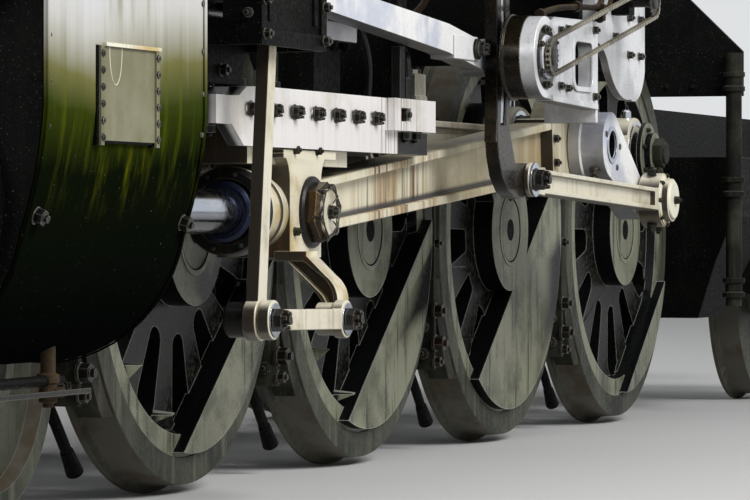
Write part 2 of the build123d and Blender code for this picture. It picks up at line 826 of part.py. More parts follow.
drag_half = 720.0
drag_low = 130.0
pocket_half, pocket_depth = 220.0, 420.0
pocket_low, pocket_high = 230.0, 400.0
drawbar_pin_radius = 50.0
drawbar_pin = rear_end - 220.0
drag_box = block(drag_front, rear_end, -drag_half, drag_half, drag_low, rear_rail_top)
drag_box -= block(rear_end - pocket_depth, rear_end + 1, -pocket_half, pocket_half, pocket_low, pocket_high)
drag_box -= along_z(drawbar_pin, 0, drawbar_pin_radius, drag_low - 30, rear_rail_top + 40)
save("drag_box", [drag_box])

# Plates between the wheels that carry the boiler: station and foot of each one's legs
waist_table = [(6300.0, frame_top), (8225.0, rear_rail_top)]
waist_thickness = 30.0
waist_low, waist_shoulder = 600.0, 800.0
waist_half = 1150.0
seat_half = 700.0
waists = []
for station, foot in waist_table:
    rise = saddle_seat + boiler_radius - sqrt(boiler_radius**2 - seat_half**2)
    section = outline(
        (0, waist_low), (waist_half, waist_low), (waist_half, waist_shoulder), (seat_half, rise), (0, rise)
    )
    waist = section_bar(section, station, station + waist_thickness)
    waist += block(station, station + waist_thickness, frame_inner, frame_outer, foot, waist_low + 1)
    waist -= boiler_shell(station - 1, station + waist_thickness + 1)
    waists.append(waist + mirror(waist, about=Plane.XZ))
save("waist_plates", waists)

boxes = []
for x in driver_stations:
    box = block(x - jaw_half + 1, x + jaw_half - 1, frame_inner - 20, frame_outer + 20, -150, 180)
    box -= along_y(x, 0, axle_radius + 0.3, frame_inner - 50, frame_outer + 50)
    boxes.append(box)
save("driver_axleboxes", both_sides(boxes))

springs = []
for x in driver_stations:
    leaves = outline(
        (x - 480, frame_top + 60),
        (x - 480, frame_top + 40),
        (x - 70, frame_top + 40),
        (x - 70, frame_top),
        (x + 70, frame_top),
        (x + 70, frame_top + 40),
        (x + 480, frame_top + 40),
        (x + 480, frame_top + 60),
        (x + 120, frame_top + 150),
        (x - 120, frame_top + 150),
    )
    springs.append(side_plate(leaves, frame_inner + 10, frame_outer - 10))
save("driver_springs", both_sides(springs))

bumper_half, bumper_low, bumper_high = 1350.0, -60.0, 380.0
bumper = block(front_end, front_end + bumper_depth, -bumper_half, bumper_half, bumper_low, bumper_high)
bumper -= block(front_end - 1, front_end + 100, -170, 170, 20, 200)
save("bumper_beam", [bumper])

# Guide yoke, valve guides and link brackets

yoke_front = 3110.0
yoke_depth = 100.0
yoke_back = yoke_front + yoke_depth
yoke_low = 600.0
guide_top = guide_bottom + guide_depth
beam_inner, beam_outer = 1190.0, bracket_outer + 5
cap_station = 3230.0
cap_length = 100.0
yoke = block(yoke_front, yoke_back, 0, guide_outer, yoke_low, gear_beam_high)
yoke += block(yoke_front, yoke_back, guide_outer - 10, beam_outer, gear_beam_low, gear_beam_high)
yoke += block(yoke_front, yoke_back, guide_inner + 5, guide_outer, guide_top, yoke_low + 10)
yoke += block(yoke_front, yoke_back, frame_inner, frame_outer, frame_top, yoke_low + 10)
yoke += block(yoke_back - 1, cap_station + cap_length, guide_outer - 70, guide_outer + 20, guide_top, guide_top + 80)
tie_front, tie_back = 4580.0, 4630.0
lobe_inner, lobe_back = 1400.0, 5560.0
yoke += block(yoke_back - 1, tie_back, beam_inner, beam_outer, gear_beam_low, gear_beam_high)
yoke += block(tie_front, tie_back, 0, bracket_inner, yoke_low, gear_beam_high)
yoke += block(tie_front, tie_back, frame_inner, frame_outer, frame_top, yoke_low + 10)
yoke += block(tie_back - 1, lobe_back, lobe_inner, beam_outer, gear_beam_low, gear_beam_high)
yoke -= boiler_shell(yoke_front - 1, tie_back + 1)
save("guide_yoke", [yoke + mirror(yoke, about=Plane.XZ)])

bearing_radius, bearing_reach = 140.0, 65.0
bearing_outer = bracket_outer + bearing_reach
bracket_front = 4040.0
bracket_top, bracket_low = 745.0, 455.0
rib_back = tie_back + 27
rib_low, rib_inner = 387.0, 1300.0


def lobed_plate():
    # Behind the rib the plate arches up, and ends in a rounded lobe.
    top = gear_beam_low
    arch = (rib_back + 200, 690)
    lobe = (rib_back + 385, 600)
    tip = (lobe_back - 223, 492)
    return [
        Line((rib_back - 5, top), (rib_back - 5, 560)),
        ThreePointArc((rib_back - 5, 560), arch, lobe),
        ThreePointArc(lobe, (lobe[0] + 130, 512), tip),
        ThreePointArc(tip, (lobe_back - 60, 535), (lobe_back - 18, 605)),
        Line((lobe_back - 18, 605), (lobe_back - 18, top)),
        Line((lobe_back - 18, top), (rib_back - 5, top)),
    ]


neck = bearing_radius - 12
bracket = outline(
    (trunnion_station, trunnion_height + neck),
    (bracket_front, bracket_top - 20),
    (bracket_front + 60, bracket_top),
    (tie_back, bracket_top + 10),
    (tie_back, bracket_low - 15),
    (bracket_front, bracket_low),
    (trunnion_station, trunnion_height - neck),
)
plate = side_plate(bracket, bracket_inner, bracket_outer)
plate -= rounded_window(4336, 4567, 510, 671, 35.0, bracket_inner - 1, bracket_outer + 1)
plate += along_y(trunnion_station, trunnion_height, bearing_radius, bracket_inner, bearing_outer)
plate -= along_y(
    trunnion_station, trunnion_height, trunnion_radius + running_gap, bracket_inner - 1, trunnion_end + 5
)
plate += block(tie_back, rib_back, rib_inner, bracket_outer, rib_low, gear_beam_low)
plate += side_plate(lobed_plate(), lobe_inner, lobe_inner + 30)
save("link_brackets", both_sides([plate]))

# Lubricators and the chains that drive them

sprocket_radius = 60.0
sprocket_back = (5100.0, 850.0)
chain_gap = 15.0
chain_inner = bearing_outer + chain_gap
chain_band = 7.0
shaft_radius = 22.0
oiler_front, oiler_length, oiler_height = 4960.0, 420.0, 270.0
oiler_inner, oiler_outer = 1250.0, 1500.0
sprockets = ((trunnion_station, trunnion_height), sprocket_back)
run = degrees(atan2(sprocket_back[1] - trunnion_height, sprocket_back[0] - trunnion_station))
run_front = polar(sprocket_radius + chain_band, run, *sprockets[0])
run_back = polar(-sprocket_radius - chain_band, run, *sprockets[1])
outer_height, inner_height = 2 * (sprocket_radius + chain_band), 2 * (sprocket_radius - chain_band)
chain_outer = chain_inner + chain_thickness
chain = tapered_bar(*sprockets, outer_height, outer_height, chain_inner, chain_outer)
for centre, start in zip(sprockets, (bearing_outer, oiler_outer)):
    chain += along_y(*centre, sprocket_radius + chain_band, chain_inner, chain_outer)
    chain += along_y(*centre, shaft_radius, start, chain_inner)
chain -= tapered_bar(run_front, run_back, inner_height, inner_height, chain_inner - 1, chain_outer + 1)
save("lubricator_chains", both_sides([chain]))

oiler = block(
    oiler_front, oiler_front + oiler_length, oiler_inner, oiler_outer, gear_beam_high, gear_beam_high + oiler_height
)
oiler = fillet(oiler.edges().filter_by(Axis.Z), 30)
oiler_cover = block(
    oiler_front - 12, oiler_front + oiler_length + 12, oiler_inner - 12, oiler_outer + 12,
    gear_beam_high + oiler_height - 1, gear_beam_high + oiler_height + 25,
)
shaft_seat = block(sprocket_back[0] - 40, sprocket_back[0] + 40, lobe_inner + 30, oiler_outer, 800, gear_beam_low)
save("lubricators", both_sides([oiler + oiler_cover, shaft_seat]))

# Valve guides, stems and radius rods

box_front, box_back = 1290.0, 1840.0
box_inner, box_outer = 1190.0, 1460.0
box_low, box_high = 530.0, 960.0
box_wall = 25.0
rod_room = 10.0
panel_margin, panel_depth = 45.0, 10.0
case = block(box_front, box_back, box_inner, box_outer, box_low, box_high)
case -= block(
    box_front + box_wall, box_back - box_wall, box_inner + box_wall, box_outer - box_wall, 0, box_high - box_wall
)
case -= block(
    box_front + panel_margin, box_back - panel_margin, box_outer - panel_depth, box_outer + 1,
    box_low + panel_margin, box_high - panel_margin,
)
case -= block(
    box_back - 100, box_back + 1, radius_rod_inner - rod_room, radius_rod_outer + rod_room,
    lever_top[1] - 90, lever_top[1] + 70,
)
case -= block(box_front - 1, box_front + 100, valve_width - 50, valve_width + 50, 595, 685)
foot = [
    Line((box_front + 40, box_low), (box_front + 40, 480)),
    ThreePointArc((box_front + 40, 480), (box_front + 70, 450), (box_front + 180, guide_top)),
    Line((box_front + 180, guide_top), (box_back - 60, guide_top)),
    ThreePointArc((box_back - 60, guide_top), (box_back - 50, 500), (box_back, box_low)),
    Line((box_back, box_low), (box_front + 40, box_low)),
]
case += side_plate(foot, box_inner, box_inner + box_wall)
stay_inner, stay_outer = 1210.0, 1380.0
stay_low, stay_high = 780.0, 900.0
stay = block(cover_back, box_front, stay_inner, stay_outer, stay_low, stay_high)
save("valve_guides", both_sides([case + stay]))

stem_block = 140.0
stem = along_x(valve_width, 640, 30, cover_back, lever_top[0] + 30)
stem += block(lever_top[0] - 70, lever_top[0] - 70 + stem_block, valve_width - 45, valve_width + 45, 600, 680)
save("valve_stems", both_sides([stem]))

knee = (3350.0, 640.0)
rod = tapered_bar(lever_top, knee, 80, 95, radius_rod_inner, radius_rod_outer)
rod += tapered_bar(knee, trunnion, 95, 95, radius_rod_inner, radius_rod_outer)
rod += along_y(*knee, 47, radius_rod_inner, radius_rod_outer)
rod += along_y(*lever_top, 55, radius_rod_inner, radius_rod_outer)
rod += along_y(*trunnion, 65, radius_rod_inner, radius_rod_outer)
save("radius_rods", both_sides([rod]))

carrier = block(cover_back, guide_nose, cylinder_width - 90, cylinder_width + 90, 290, 400)
save("guide_carriers", both_sides([carrier]))

# Brakes

hanger_inner, hanger_outer = 735.0, 815.0
hanger_gap, hanger_half = 38.0, 14.0
hanger_low, hanger_high = -520.0, 440.0
pad_half, pad_low, pad_high = 40.0, 330.0, 420.0
shoe_gap, shoe_back = 10.0, 75.0
shoe_rear = 500.0
shoe_foot, shoe_head = -560.0, -180.0
hangers = []
for x in driver_stations:
    front = x - driver_radius - hanger_gap
    bar = block(front - hanger_half, front + hanger_half, hanger_inner, hanger_outer, hanger_low, hanger_high)
    bar += block(front - pad_half, front + pad_half, frame_outer, hanger_outer, pad_low, pad_high)
    shoe = along_y(x, 0, driver_radius + shoe_back, hanger_inner, hanger_outer)
    shoe -= along_y(x, 0, driver_radius + shoe_gap, hanger_inner - 1, hanger_outer + 1)
    shoe &= block(
        x - driver_radius - 2 * shoe_back, x - shoe_rear, hanger_inner - 1, hanger_outer + 1, shoe_foot, shoe_head
    )
    hangers.append(bar + shoe)
save("brake_hangers", both_sides(hangers))

# Leading truck

truck_height = truck_wheel_radius + flange_depth - axle_height


def truck_wheel(station, radius, axle):
    height = radius + flange_depth - axle_height
    hub, boss = axle + 57, tyre_outer + 5
    profile = [
        (axle, tyre_inner),
        (radius + flange_depth, tyre_inner),
        (radius + flange_depth, tyre_inner + flange_tip),
        (radius + tread_rise, tyre_inner + flange_width),
        (radius - tread_rise / 2, tyre_outer),
        (radius - 60, tyre_outer),
        (radius - 68, tyre_outer - 45),
        (hub, tyre_outer - 50),
        (hub - 15, boss),
        (axle, boss),
    ]
    return turned(profile, station, height)


truck_stations = (truck_pivot - truck_wheelbase / 2, truck_pivot + truck_wheelbase / 2)
for name, station in zip(("front", "rear"), truck_stations):
    wheel = truck_wheel(station, truck_wheel_radius, truck_axle_radius)
    save(f"leading_truck_{name}_wheels", both_sides([wheel]))
    axle = along_y(station, truck_height, truck_axle_radius, -tyre_outer, tyre_outer)
    save(f"leading_truck_{name}_axle", [axle])

truck_inner, truck_outer = 400.0, 520.0
truck = block(truck_stations[0] + 120, truck_stations[1] - 120, truck_inner, truck_outer, -330, -210)
for station in truck_stations:
    truck += block(station - 150, station + 150, truck_inner, truck_outer, truck_height - 140, -210)
truck += block(truck_pivot - 220, truck_pivot + 220, 0, truck_inner + 10, -300, -180)
whole = truck + mirror(truck, about=Plane.XZ)
for station in truck_stations:
    whole -= along_y(station, truck_height, truck_axle_radius + 0.3, -600, 600)
whole += along_z(truck_pivot, 0, 200, -190, -61)
save("leading_truck_frame", [whole])

# Trailing truck

trailing_height = trailing_wheel_radius + flange_depth - axle_height
trailing_axle_radius = 95.0
journal_out = 1080.0
wheel = truck_wheel(trailing_axle, trailing_wheel_radius, trailing_axle_radius)
save("trailing_truck_wheels", both_sides([wheel]))
axle = along_y(trailing_axle, trailing_height, trailing_axle_radius, -journal_out, journal_out)
save("trailing_truck_axle", [axle])

trail_inner, trail_outer = 930.0, 1050.0
trail_low, trail_high = -300.0, -110.0
trail_half = 820.0
pedestal_half = 190.0
pedestal_low = trailing_height - 200
pedestal_high = 60.0
bolster_depth = 150.0
arm_half = 200.0
side = outline(
    (trailing_axle - trail_half, trail_low),
    (trailing_axle - trail_half, trail_high),
    (trailing_axle - 2 * pedestal_half, trail_high + 20),
    (trailing_axle - pedestal_half, pedestal_high),
    (trailing_axle + pedestal_half, pedestal_high),
    (trailing_axle + 2 * pedestal_half, trail_high + 20),
    (trailing_axle + trail_half, trail_high),
    (trailing_axle + trail_half, trail_low),
    (trailing_axle + 2 * pedestal_half, trail_low),
    (trailing_axle + pedestal_half, pedestal_low),
    (trailing_axle - pedestal_half, pedestal_low),
    (trailing_axle - 2 * pedestal_half, trail_low),
)
trail = side_plate(side, trail_inner, trail_outer)
front_bolster = trailing_axle - trail_half
back_bolster = trailing_axle + trail_half - bolster_depth
trail += block(front_bolster, front_bolster + bolster_depth, 0, trail_outer, trail_low, trail_high)
trail += block(back_bolster, back_bolster + bolster_depth, 0, trail_outer, trail_low, trail_high)
arm = outline(
    (trailing_pivot, trail_high),
    (front_bolster + 20, trail_high),
    (front_bolster + 20, trail_low),
    (trailing_pivot, trail_low + 70),
)
trail += side_plate(arm, 0, arm_half)
whole = trail + mirror(trail, about=Plane.XZ)
whole -= along_y(trailing_axle, trailing_height, trailing_axle_radius + 0.3, -1200, 1200)
whole += along_z(trailing_pivot, 0, 160, trail_low + 60, pivot_seat_low)
save("trailing_truck_frame", [whole])

pivot = block(trailing_pivot - 150, trailing_pivot + 150, -300, 300, 200, rear_rail_bottom)
pivot += along_z(trailing_pivot, 0, 150, pivot_seat_low + 1, 210)
save("trailing_truck_pivot", [pivot])

# Ash pans, pipes

pan_inner, pan_outer, pan_foot = 350.0, 1090.0, -400.0
pan_front, pan_back = splice_back + 5, 9040.0
pan_section = outline(
    (pan_inner, rear_rail_bottom),
    (pan_outer, rear_rail_bottom),
    (pan_outer, 60),
    (pan_outer - 190, pan_foot),
    (pan_inner + 170, pan_foot),
    (pan_inner, -60),
)
pan_side = outline(
    (pan_front, rear_rail_bottom),
    (pan_back, rear_rail_bottom),
    (pan_back, 0),
    (pan_back - 240, pan_foot),
    (pan_front + 100, pan_foot),
    (pan_front, -150),
)
pan = section_bar(pan_section, pan_front, pan_back) & side_plate(pan_side, 0, pan_outer + 1)
save("ash_pans", both_sides([pan]))

# Sand pipes come down between the wheels, inside of the tyres, and bend out to the rail.
sand_pipe_radius = 18.0
pipe_width = 640.0
sand_width = 714.0
wheel_gap = driver_spacing / 2
sand_pipes = []
for x in driver_stations:
    middle = x - wheel_gap
    route = [
        (middle, frame_outer, rail_high + 60),
        (middle, pipe_width, rail_high + 60),
        (middle, pipe_width, -380),
        (middle + 50, sand_width, -560),
        (middle + 190, sand_width, -720),
    ]
    sand_pipes.append(pipe(route, sand_pipe_radius))

drain_width = 1300.0
drain_height = -390.0
drain_radius = 15.0
cock_radius = 24.0
cock_length = 60.0
drains = along_x(drain_width, drain_height, drain_radius, -480, 220)
for x in (-400, 140):
    drains += along_z(x, drain_width, cock_radius, drain_height - cock_length, cylinder_height)
drains -= section_bar(jacket_outline(0), front_face, back_face)
save("sand_and_drain_pipes", both_sides(sand_pipes + [drains]))
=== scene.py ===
"""Looks of a large steam locomotive's running gear, modelled around its fixed frame."""

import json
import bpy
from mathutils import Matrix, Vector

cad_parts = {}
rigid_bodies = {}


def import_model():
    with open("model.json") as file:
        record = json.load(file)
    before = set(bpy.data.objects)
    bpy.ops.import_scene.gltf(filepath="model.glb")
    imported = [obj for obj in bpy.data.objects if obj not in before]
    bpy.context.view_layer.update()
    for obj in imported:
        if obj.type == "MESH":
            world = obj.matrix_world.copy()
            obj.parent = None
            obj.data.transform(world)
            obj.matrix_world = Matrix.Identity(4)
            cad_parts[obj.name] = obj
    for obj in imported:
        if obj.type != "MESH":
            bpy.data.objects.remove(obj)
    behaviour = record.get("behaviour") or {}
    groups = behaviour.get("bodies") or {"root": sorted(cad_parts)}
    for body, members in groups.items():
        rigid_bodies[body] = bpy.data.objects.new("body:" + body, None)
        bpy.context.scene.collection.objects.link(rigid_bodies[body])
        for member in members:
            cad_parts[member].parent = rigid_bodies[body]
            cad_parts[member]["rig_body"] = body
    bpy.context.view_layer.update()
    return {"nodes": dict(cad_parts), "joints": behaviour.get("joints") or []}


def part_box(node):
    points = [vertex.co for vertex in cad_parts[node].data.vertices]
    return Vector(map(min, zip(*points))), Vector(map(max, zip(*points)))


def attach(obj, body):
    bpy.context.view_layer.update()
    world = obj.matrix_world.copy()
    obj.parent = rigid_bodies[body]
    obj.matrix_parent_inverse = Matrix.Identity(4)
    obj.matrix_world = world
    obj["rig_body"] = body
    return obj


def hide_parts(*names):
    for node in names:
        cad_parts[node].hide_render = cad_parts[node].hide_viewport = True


bl_info = {
    "name": "Steam Running Gear",
    "version": (1, 0, 0),
    "blender": (4, 5, 0),
    "location": "View3D > Sidebar > Running Gear",
    "description": "Fittings, paint and wear for a steam locomotive's wheels, rods and cylinders",
    "category": "Add Mesh",
}

from math import atan2, cos, degrees, hypot, pi, radians, sin, tau

import bmesh
import bpy
from mathutils import Matrix, Vector

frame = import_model()

# Stations run rearwards from the middle of the cylinders, heights from the driving axles,
# and widths outwards from the centre line, all in metres.
FIRST_DRIVER = 2.324
DRIVER_SPACING = 1.676
DRIVERS = [FIRST_DRIVER + DRIVER_SPACING * i for i in range(4)]
TYRE_LOW, TYRE_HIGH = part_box("driver_1_tyres")
AXLE = (TYRE_LOW.z + TYRE_HIGH.z) / 2
ORIGIN_X = (TYRE_LOW.x + TYRE_HIGH.x) / 2 - FIRST_DRIVER
PIVOTS = {joint["name"]: Vector(joint["pos_m"]) for joint in frame["joints"] if "pos_m" in joint}
CYLINDER_WIDTH, CYLINDER_HEIGHT, CYLINDER_BACK = 1.12, 0.055, 0.5225
CHEST_HEIGHT, CHEST_RADIUS, CHEST_FOOT = 0.8, 0.36, 0.3
JACKET_SIDE, JACKET_RADIUS, JACKET_UNDER = 1.586, 0.408, -0.0158
COVER_BACK, COVER_NUTS_RADIUS, COVER_NUTS = 0.5675, 0.315, 20
GLAND_BACK = 0.6925
VALVE_WIDTH, VALVE_HEIGHT = 1.29, 0.7
VALVE_GUIDE_FACE = 1.459
ROD_RADIUS = 0.067
GUIDE_FACE, GUIDE_TOP, GUIDE_UNDER = 1.25, 0.43, 0.326
GUIDE_NUT_FIRST, GUIDE_NUT_STEP, GUIDE_NUT_HEIGHT = 1.755, 0.1893, 0.36
CHEEK_FACE, SOCKET_FRONT = 1.24, 0.43
MAIN_ROD_IN, MAIN_ROD_MIDDLE, MAIN_ROD_OUT = 1.047, 1.12, 1.193
SIDE_ROD_MIDDLE, SIDE_ROD_FACE = 0.92, 0.962
UNION_OUTER, UNION_BEHIND, UNION_REAR_HEIGHT, UNION_EYE = 1.44, 0.229752, -0.27, 0.058
RETURN_THROW, RETURN_LEAD, RETURN_MIDDLE, RETURN_FACE = 0.206, 92.7, 1.285, 1.328
ECCENTRIC_MIDDLE = 1.388
LINK_SWEEP, LINK_FOOT = 2.21, (4.06, 0.175)
RADIUS_ROD_END = (3.635, 0.614)
BRACKET_FACE, BEAM_FACE, LOBE_FACE = 1.495, 1.5, 1.43
LINK_SHAFT, OILER_SHAFT, SPROCKET_RADIUS, SPROCKET_TEETH = (3.78, 0.59), (5.1, 0.85), 0.06, 20
CHAIN_MIDDLE, CHAIN_EYE, CHAIN_WAIST, CHAIN_PLATE = 1.585, 0.0075, 0.00465, 0.002
ROLLER_RADIUS, ROLLER_HALF = 0.0058, 0.0065
HUB_FACE = 0.849
HANGER_AHEAD, HANGER_FACE = 0.838, 0.813
DRAIN_WIDTH = 1.3
WAIST_PLATES = (6.3, 8.225)
RISER, RISER_WIDTH = 8.19, 1.12
TRUCK_PIVOT, TRUCK_REACH, TRUCK_WHEEL, TRUCK_AXLE_END = -0.197, 1.067, 0.419, 0.818
TRAILING_AXLE, TRAILING_WHEEL, TRAILING_AXLE_END = 10.0, 0.533, 1.08
FLANGE = 0.027

SIDES = {-1: "left", 1: "right"}
OUT, UP, DOWN, AHEAD, BACK = (0, 1, 0), (0, 0, 1), (0, 0, -1), (-1, 0, 0), (1, 0, 0)
HEXAGON = 0.577  # a hexagon's corner radius for each unit across its flats
LET_IN = 0.002  # how deep a washer goes into the face that it stands on
MILLIMETRE = 0.001
SMOOTH_ANGLE = radians(32)


def tone(red, green, blue):
    """A colour given as it looks on a screen, from 0 to 255, as the shaders want it."""
    parts = [part / 255 for part in (red, green, blue)]
    return tuple(p / 12.92 if p <= 0.04045 else ((p + 0.055) / 1.055) ** 2.4 for p in parts)


CREAM = tone(206, 201, 182)
RUST = tone(122, 74, 32)
DARK_OIL = tone(22, 20, 17)
DUST = tone(122, 118, 98)


def station_of(name):
    """Station and height of a joint's axis."""
    spot = PIVOTS[name]
    return spot.x - ORIGIN_X, spot.z - AXLE


def polar(radius, angle, x=0.0, z=0.0):
    """The point at a radius and an angle in degrees about a centre."""
    return x + radius * cos(radians(angle)), z + radius * sin(radians(angle))


def bearing(start, end):
    """The angle in degrees of the line from one point to another."""
    return degrees(atan2(end[1] - start[1], end[0] - start[0]))


def arc(x, z, radius, start, stop, steps=12):
    return [polar(radius, start + (stop - start) * k / steps, x, z) for k in range(steps + 1)]


def rounded_frame(x0, x1, z0, z1, corner):
    """The outline of a rectangle with round corners."""
    low_x, high_x, low_z, high_z = x0 + corner, x1 - corner, z0 + corner, z1 - corner
    corners = ((high_x, low_z, -90), (high_x, high_z, 0), (low_x, high_z, 90), (low_x, low_z, 180))
    return [point for x, z, start in corners for point in arc(x, z, corner, start, start + 90, 5)]


def jacket_width(z):
    """How far out the jacket's side stands at a height."""
    if z >= CHEST_FOOT:
        return JACKET_SIDE
    return JACKET_SIDE - 0.064 * ((CHEST_FOOT - z) / (CHEST_FOOT - JACKET_UNDER)) ** 1.6


def jacket_outline(last_angle):
    """Widths and heights just outside the jacket, from above the valve chest to underneath."""
    off = 0.003
    chest = arc(JACKET_SIDE - CHEST_RADIUS, CHEST_HEIGHT, CHEST_RADIUS + off, 140, 0)
    below = [(jacket_width(z) + off, z) for z in (0.3, 0.22, 0.15, 0.07)]
    return chest + below + arc(CYLINDER_WIDTH, CYLINDER_HEIGHT, JACKET_RADIUS + off, -10, last_angle)


def union_ends(label):
    """Rest places of the union link's front and rear pins."""
    low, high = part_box(f"union_link_{label}")
    wrist = station_of(f"main_rod_{label}_wrist")
    front = low.x - ORIGIN_X + UNION_EYE, low.z + high.z - 2 * AXLE - UNION_REAR_HEIGHT
    return front, (wrist[0] - UNION_BEHIND, UNION_REAR_HEIGHT)


class Value:
    """One socket of a material, with the arithmetic that the shaders use."""

    def __init__(self, nodes, socket):
        self.nodes = nodes
        self.socket = socket

    def math(self, operation, *values, clamp=False):
        settings = {"operation": operation, "use_clamp": clamp}
        return self.nodes.node("ShaderNodeMath", settings, dict(enumerate(values)))

    def __add__(self, other):
        return self.math("ADD", self, other)

    __radd__ = __add__

    def __sub__(self, other):
        return self.math("SUBTRACT", self, other)

    def __rsub__(self, other):
        return self.math("SUBTRACT", other, self)

    def __mul__(self, other):
        return self.math("MULTIPLY", self, other)

    __rmul__ = __mul__

    def __abs__(self):
        return self.math("ABSOLUTE", self)

    def clamp(self):
        return self.math("ADD", self, 0.0, clamp=True)

    def range(self, low, high, to_low=0.0, to_high=1.0):
        values = {"Value": self, "From Min": low, "From Max": high, "To Min": to_low, "To Max": to_high}
        return self.nodes.node("ShaderNodeMapRange", {"interpolation_type": "SMOOTHSTEP"}, values)


class Nodes:
    """The nodes of a material or of the world, from empty."""

    def __init__(self, holder):
        holder.use_nodes = True
        self.tree = holder.node_tree
        self.tree.nodes.clear()

    def node(self, kind, settings, values, output=0):
        """Adds a node with its settings and the values or links of its sockets."""
        made = self.tree.nodes.new(kind)
        for key, setting in settings.items():
            if key == "stops":
                ramp = made.color_ramp
                while len(ramp.elements) < len(setting):
                    ramp.elements.new(1.0)
                for element, (place, colour) in zip(ramp.elements, setting):
                    element.position = place
                    element.color = (*colour, 1.0)
            else:
                setattr(made, key, setting)
        for key, value in values.items():
            socket = made.inputs[key]
            if isinstance(value, Value):
                self.tree.links.new(value.socket, socket)
            elif socket.type == "RGBA" and len(value) == 3:
                socket.default_value = (*value, 1.0)
            else:
                socket.default_value = value
        return Value(self, made.outputs[output])

    def end(self, kind, shader):
        output = self.tree.nodes.new(kind)
        self.tree.links.new(shader.socket, output.inputs["Surface"])


class Paint(Nodes):
    """A procedural material on the object's own coordinates."""

    def __init__(self, name):
        self.material = bpy.data.materials.new(name)
        super().__init__(self.material)
        self.spot = self.node("ShaderNodeTexCoord", {}, {}, "Object")

    def along(self):
        return self.node("ShaderNodeSeparateXYZ", {}, {0: self.spot}, "X") - ORIGIN_X

    def height(self):
        return self.node("ShaderNodeSeparateXYZ", {}, {0: self.spot}, "Z") - AXLE

    def width(self):
        return abs(self.node("ShaderNodeSeparateXYZ", {}, {0: self.spot}, "Y"))

    def facing(self, name):
        normal = self.node("ShaderNodeTexCoord", {}, {}, "Normal")
        return self.node("ShaderNodeSeparateXYZ", {}, {0: normal}, name)

    def noise(self, scale, detail=3.0, roughness=0.55, vector=None):
        values = {"Vector": vector or self.spot, "Scale": scale, "Detail": detail, "Roughness": roughness}
        return self.node("ShaderNodeTexNoise", {}, values)

    def runs(self, fine, tall, low, high, roughness=0.6):
        """Upright streaks, from 0 to 1."""
        fall = self.node("ShaderNodeMapping", {}, {"Vector": self.spot, "Scale": (fine, fine, tall)})
        return self.noise(1.0, 5.0, roughness, fall).range(low, high)

    def drips(self, fine=26.0, tall=1.1):
        return self.runs(fine, tall, 0.5, 0.72)

    def patches(self, scale, low=0.45, high=0.62):
        return self.noise(scale, 5.0, 0.6).range(low, high)

    def rim(self, radius):
        """Near 1 on edges rounder than the surface beside them."""
        rounded = self.node("ShaderNodeBevel", {"samples": 4}, {"Radius": radius})
        plain = self.node("ShaderNodeNewGeometry", {}, {}, "Normal")
        settings = {"operation": "DOT_PRODUCT"}
        agreement = self.node("ShaderNodeVectorMath", settings, {0: rounded, 1: plain}, "Value")
        return (1.0 - agreement).range(0.01, 0.2)

    def mix(self, first, second, factor):
        settings = {"data_type": "RGBA", "clamp_factor": True}
        return self.node("ShaderNodeMix", settings, {0: factor, 6: first, 7: second}, 2)

    def ground(self, first, second, factor):
        self.colour = self.mix(first, second, factor)

    def over(self, colour, mask):
        self.colour = self.mix(self.colour, colour, mask)

    def worn(self, grain, strength, distance, **values):
        """Ends the material with its colour so far and a grain that stands out of the surface."""
        bump = {"Height": grain, "Strength": strength, "Distance": distance}
        normal = self.node("ShaderNodeBump", {}, bump)
        return self.finish(Base_Color=self.colour, Normal=normal, **values)

    def finish(self, **values):
        """Ends the material. Socket names are given with underscores for spaces."""
        named = {key.replace("_", " "): value for key, value in values.items()}
        self.end("ShaderNodeOutputMaterial", self.node("ShaderNodeBsdfPrincipled", {}, named))
        return self.material


def steel_paint(name, base, shade, metallic, rough, rust, oil, edge, front):
    """Bare or oiled steel with rust runs, oily patches, pale edges that are partly wear and partly painted
    highlight, and painted shade on the faces that look ahead and the faces that look down.
    """
    paint = Paint(name)
    paint.ground(base, shade, paint.patches(3.0))
    # Painted shade: faces that look ahead are darkened by the front share.
    if front:
        ahead = paint.facing("X").range(-0.55, -0.9)
        paint.over(tone(40, 33, 28), ahead * front)
    # Painted shade: faces that look down are darkened, from a little above level for fully metallic steel.
    lowest = 0.1 if metallic == 1.0 else -0.3
    below = paint.facing("Z").range(lowest, lowest - 0.6)
    paint.over(tone(30, 27, 23), below * 0.85)
    paint.over(RUST, paint.drips() * paint.patches(1.6, 0.42, 0.6) * rust)
    paint.over(DARK_OIL, paint.drips(44.0, 2.5) * paint.patches(2.3, 0.5, 0.66) * oil)
    paint.over(DARK_OIL, paint.noise(160.0, 2.0).range(0.62, 0.78) * 0.35)
    # Pale edges, partly wear and partly painted highlight.
    paint.over(CREAM, paint.rim(0.004) * edge)
    grain = paint.noise(90.0, 4.0)
    roughness = grain.range(0.2, 0.8, rough - 0.08, rough + 0.14)
    return paint.worn(grain, 0.25, 0.0008, Metallic=metallic, Roughness=roughness, Specular_IOR_Level=0.3)


def dusty_paint(name, base, dust_colour, dust, rough, streak, coat):
    """Old paint under road dust, thicker on ledges, streaked by rain and worn at its edges."""
    paint = Paint(name)
    ledges = paint.facing("Z").range(0.2, 0.95)
    paint.ground(base, dust_colour, (ledges + paint.patches(5.0, 0.4, 0.7) * 0.8).clamp() * dust)
    paint.over(dust_colour, paint.drips(18.0, 0.9) * streak)
    paint.over(DARK_OIL, paint.drips(33.0, 1.4) * paint.patches(2.0, 0.5, 0.65) * 0.7)
    paint.over(DUST, paint.noise(210.0, 2.0).range(0.66, 0.74) * 0.5)
    paint.over(dust_colour, paint.rim(0.006) * 0.25)
    grain = paint.noise(70.0, 5.0)
    roughness = grain.range(0.25, 0.75, rough - 0.1, rough + 0.15)
    return paint.worn(
        grain, 0.35, 0.001, Metallic=0.0, Roughness=roughness, Specular_IOR_Level=0.04, Coat_Weight=coat
    )


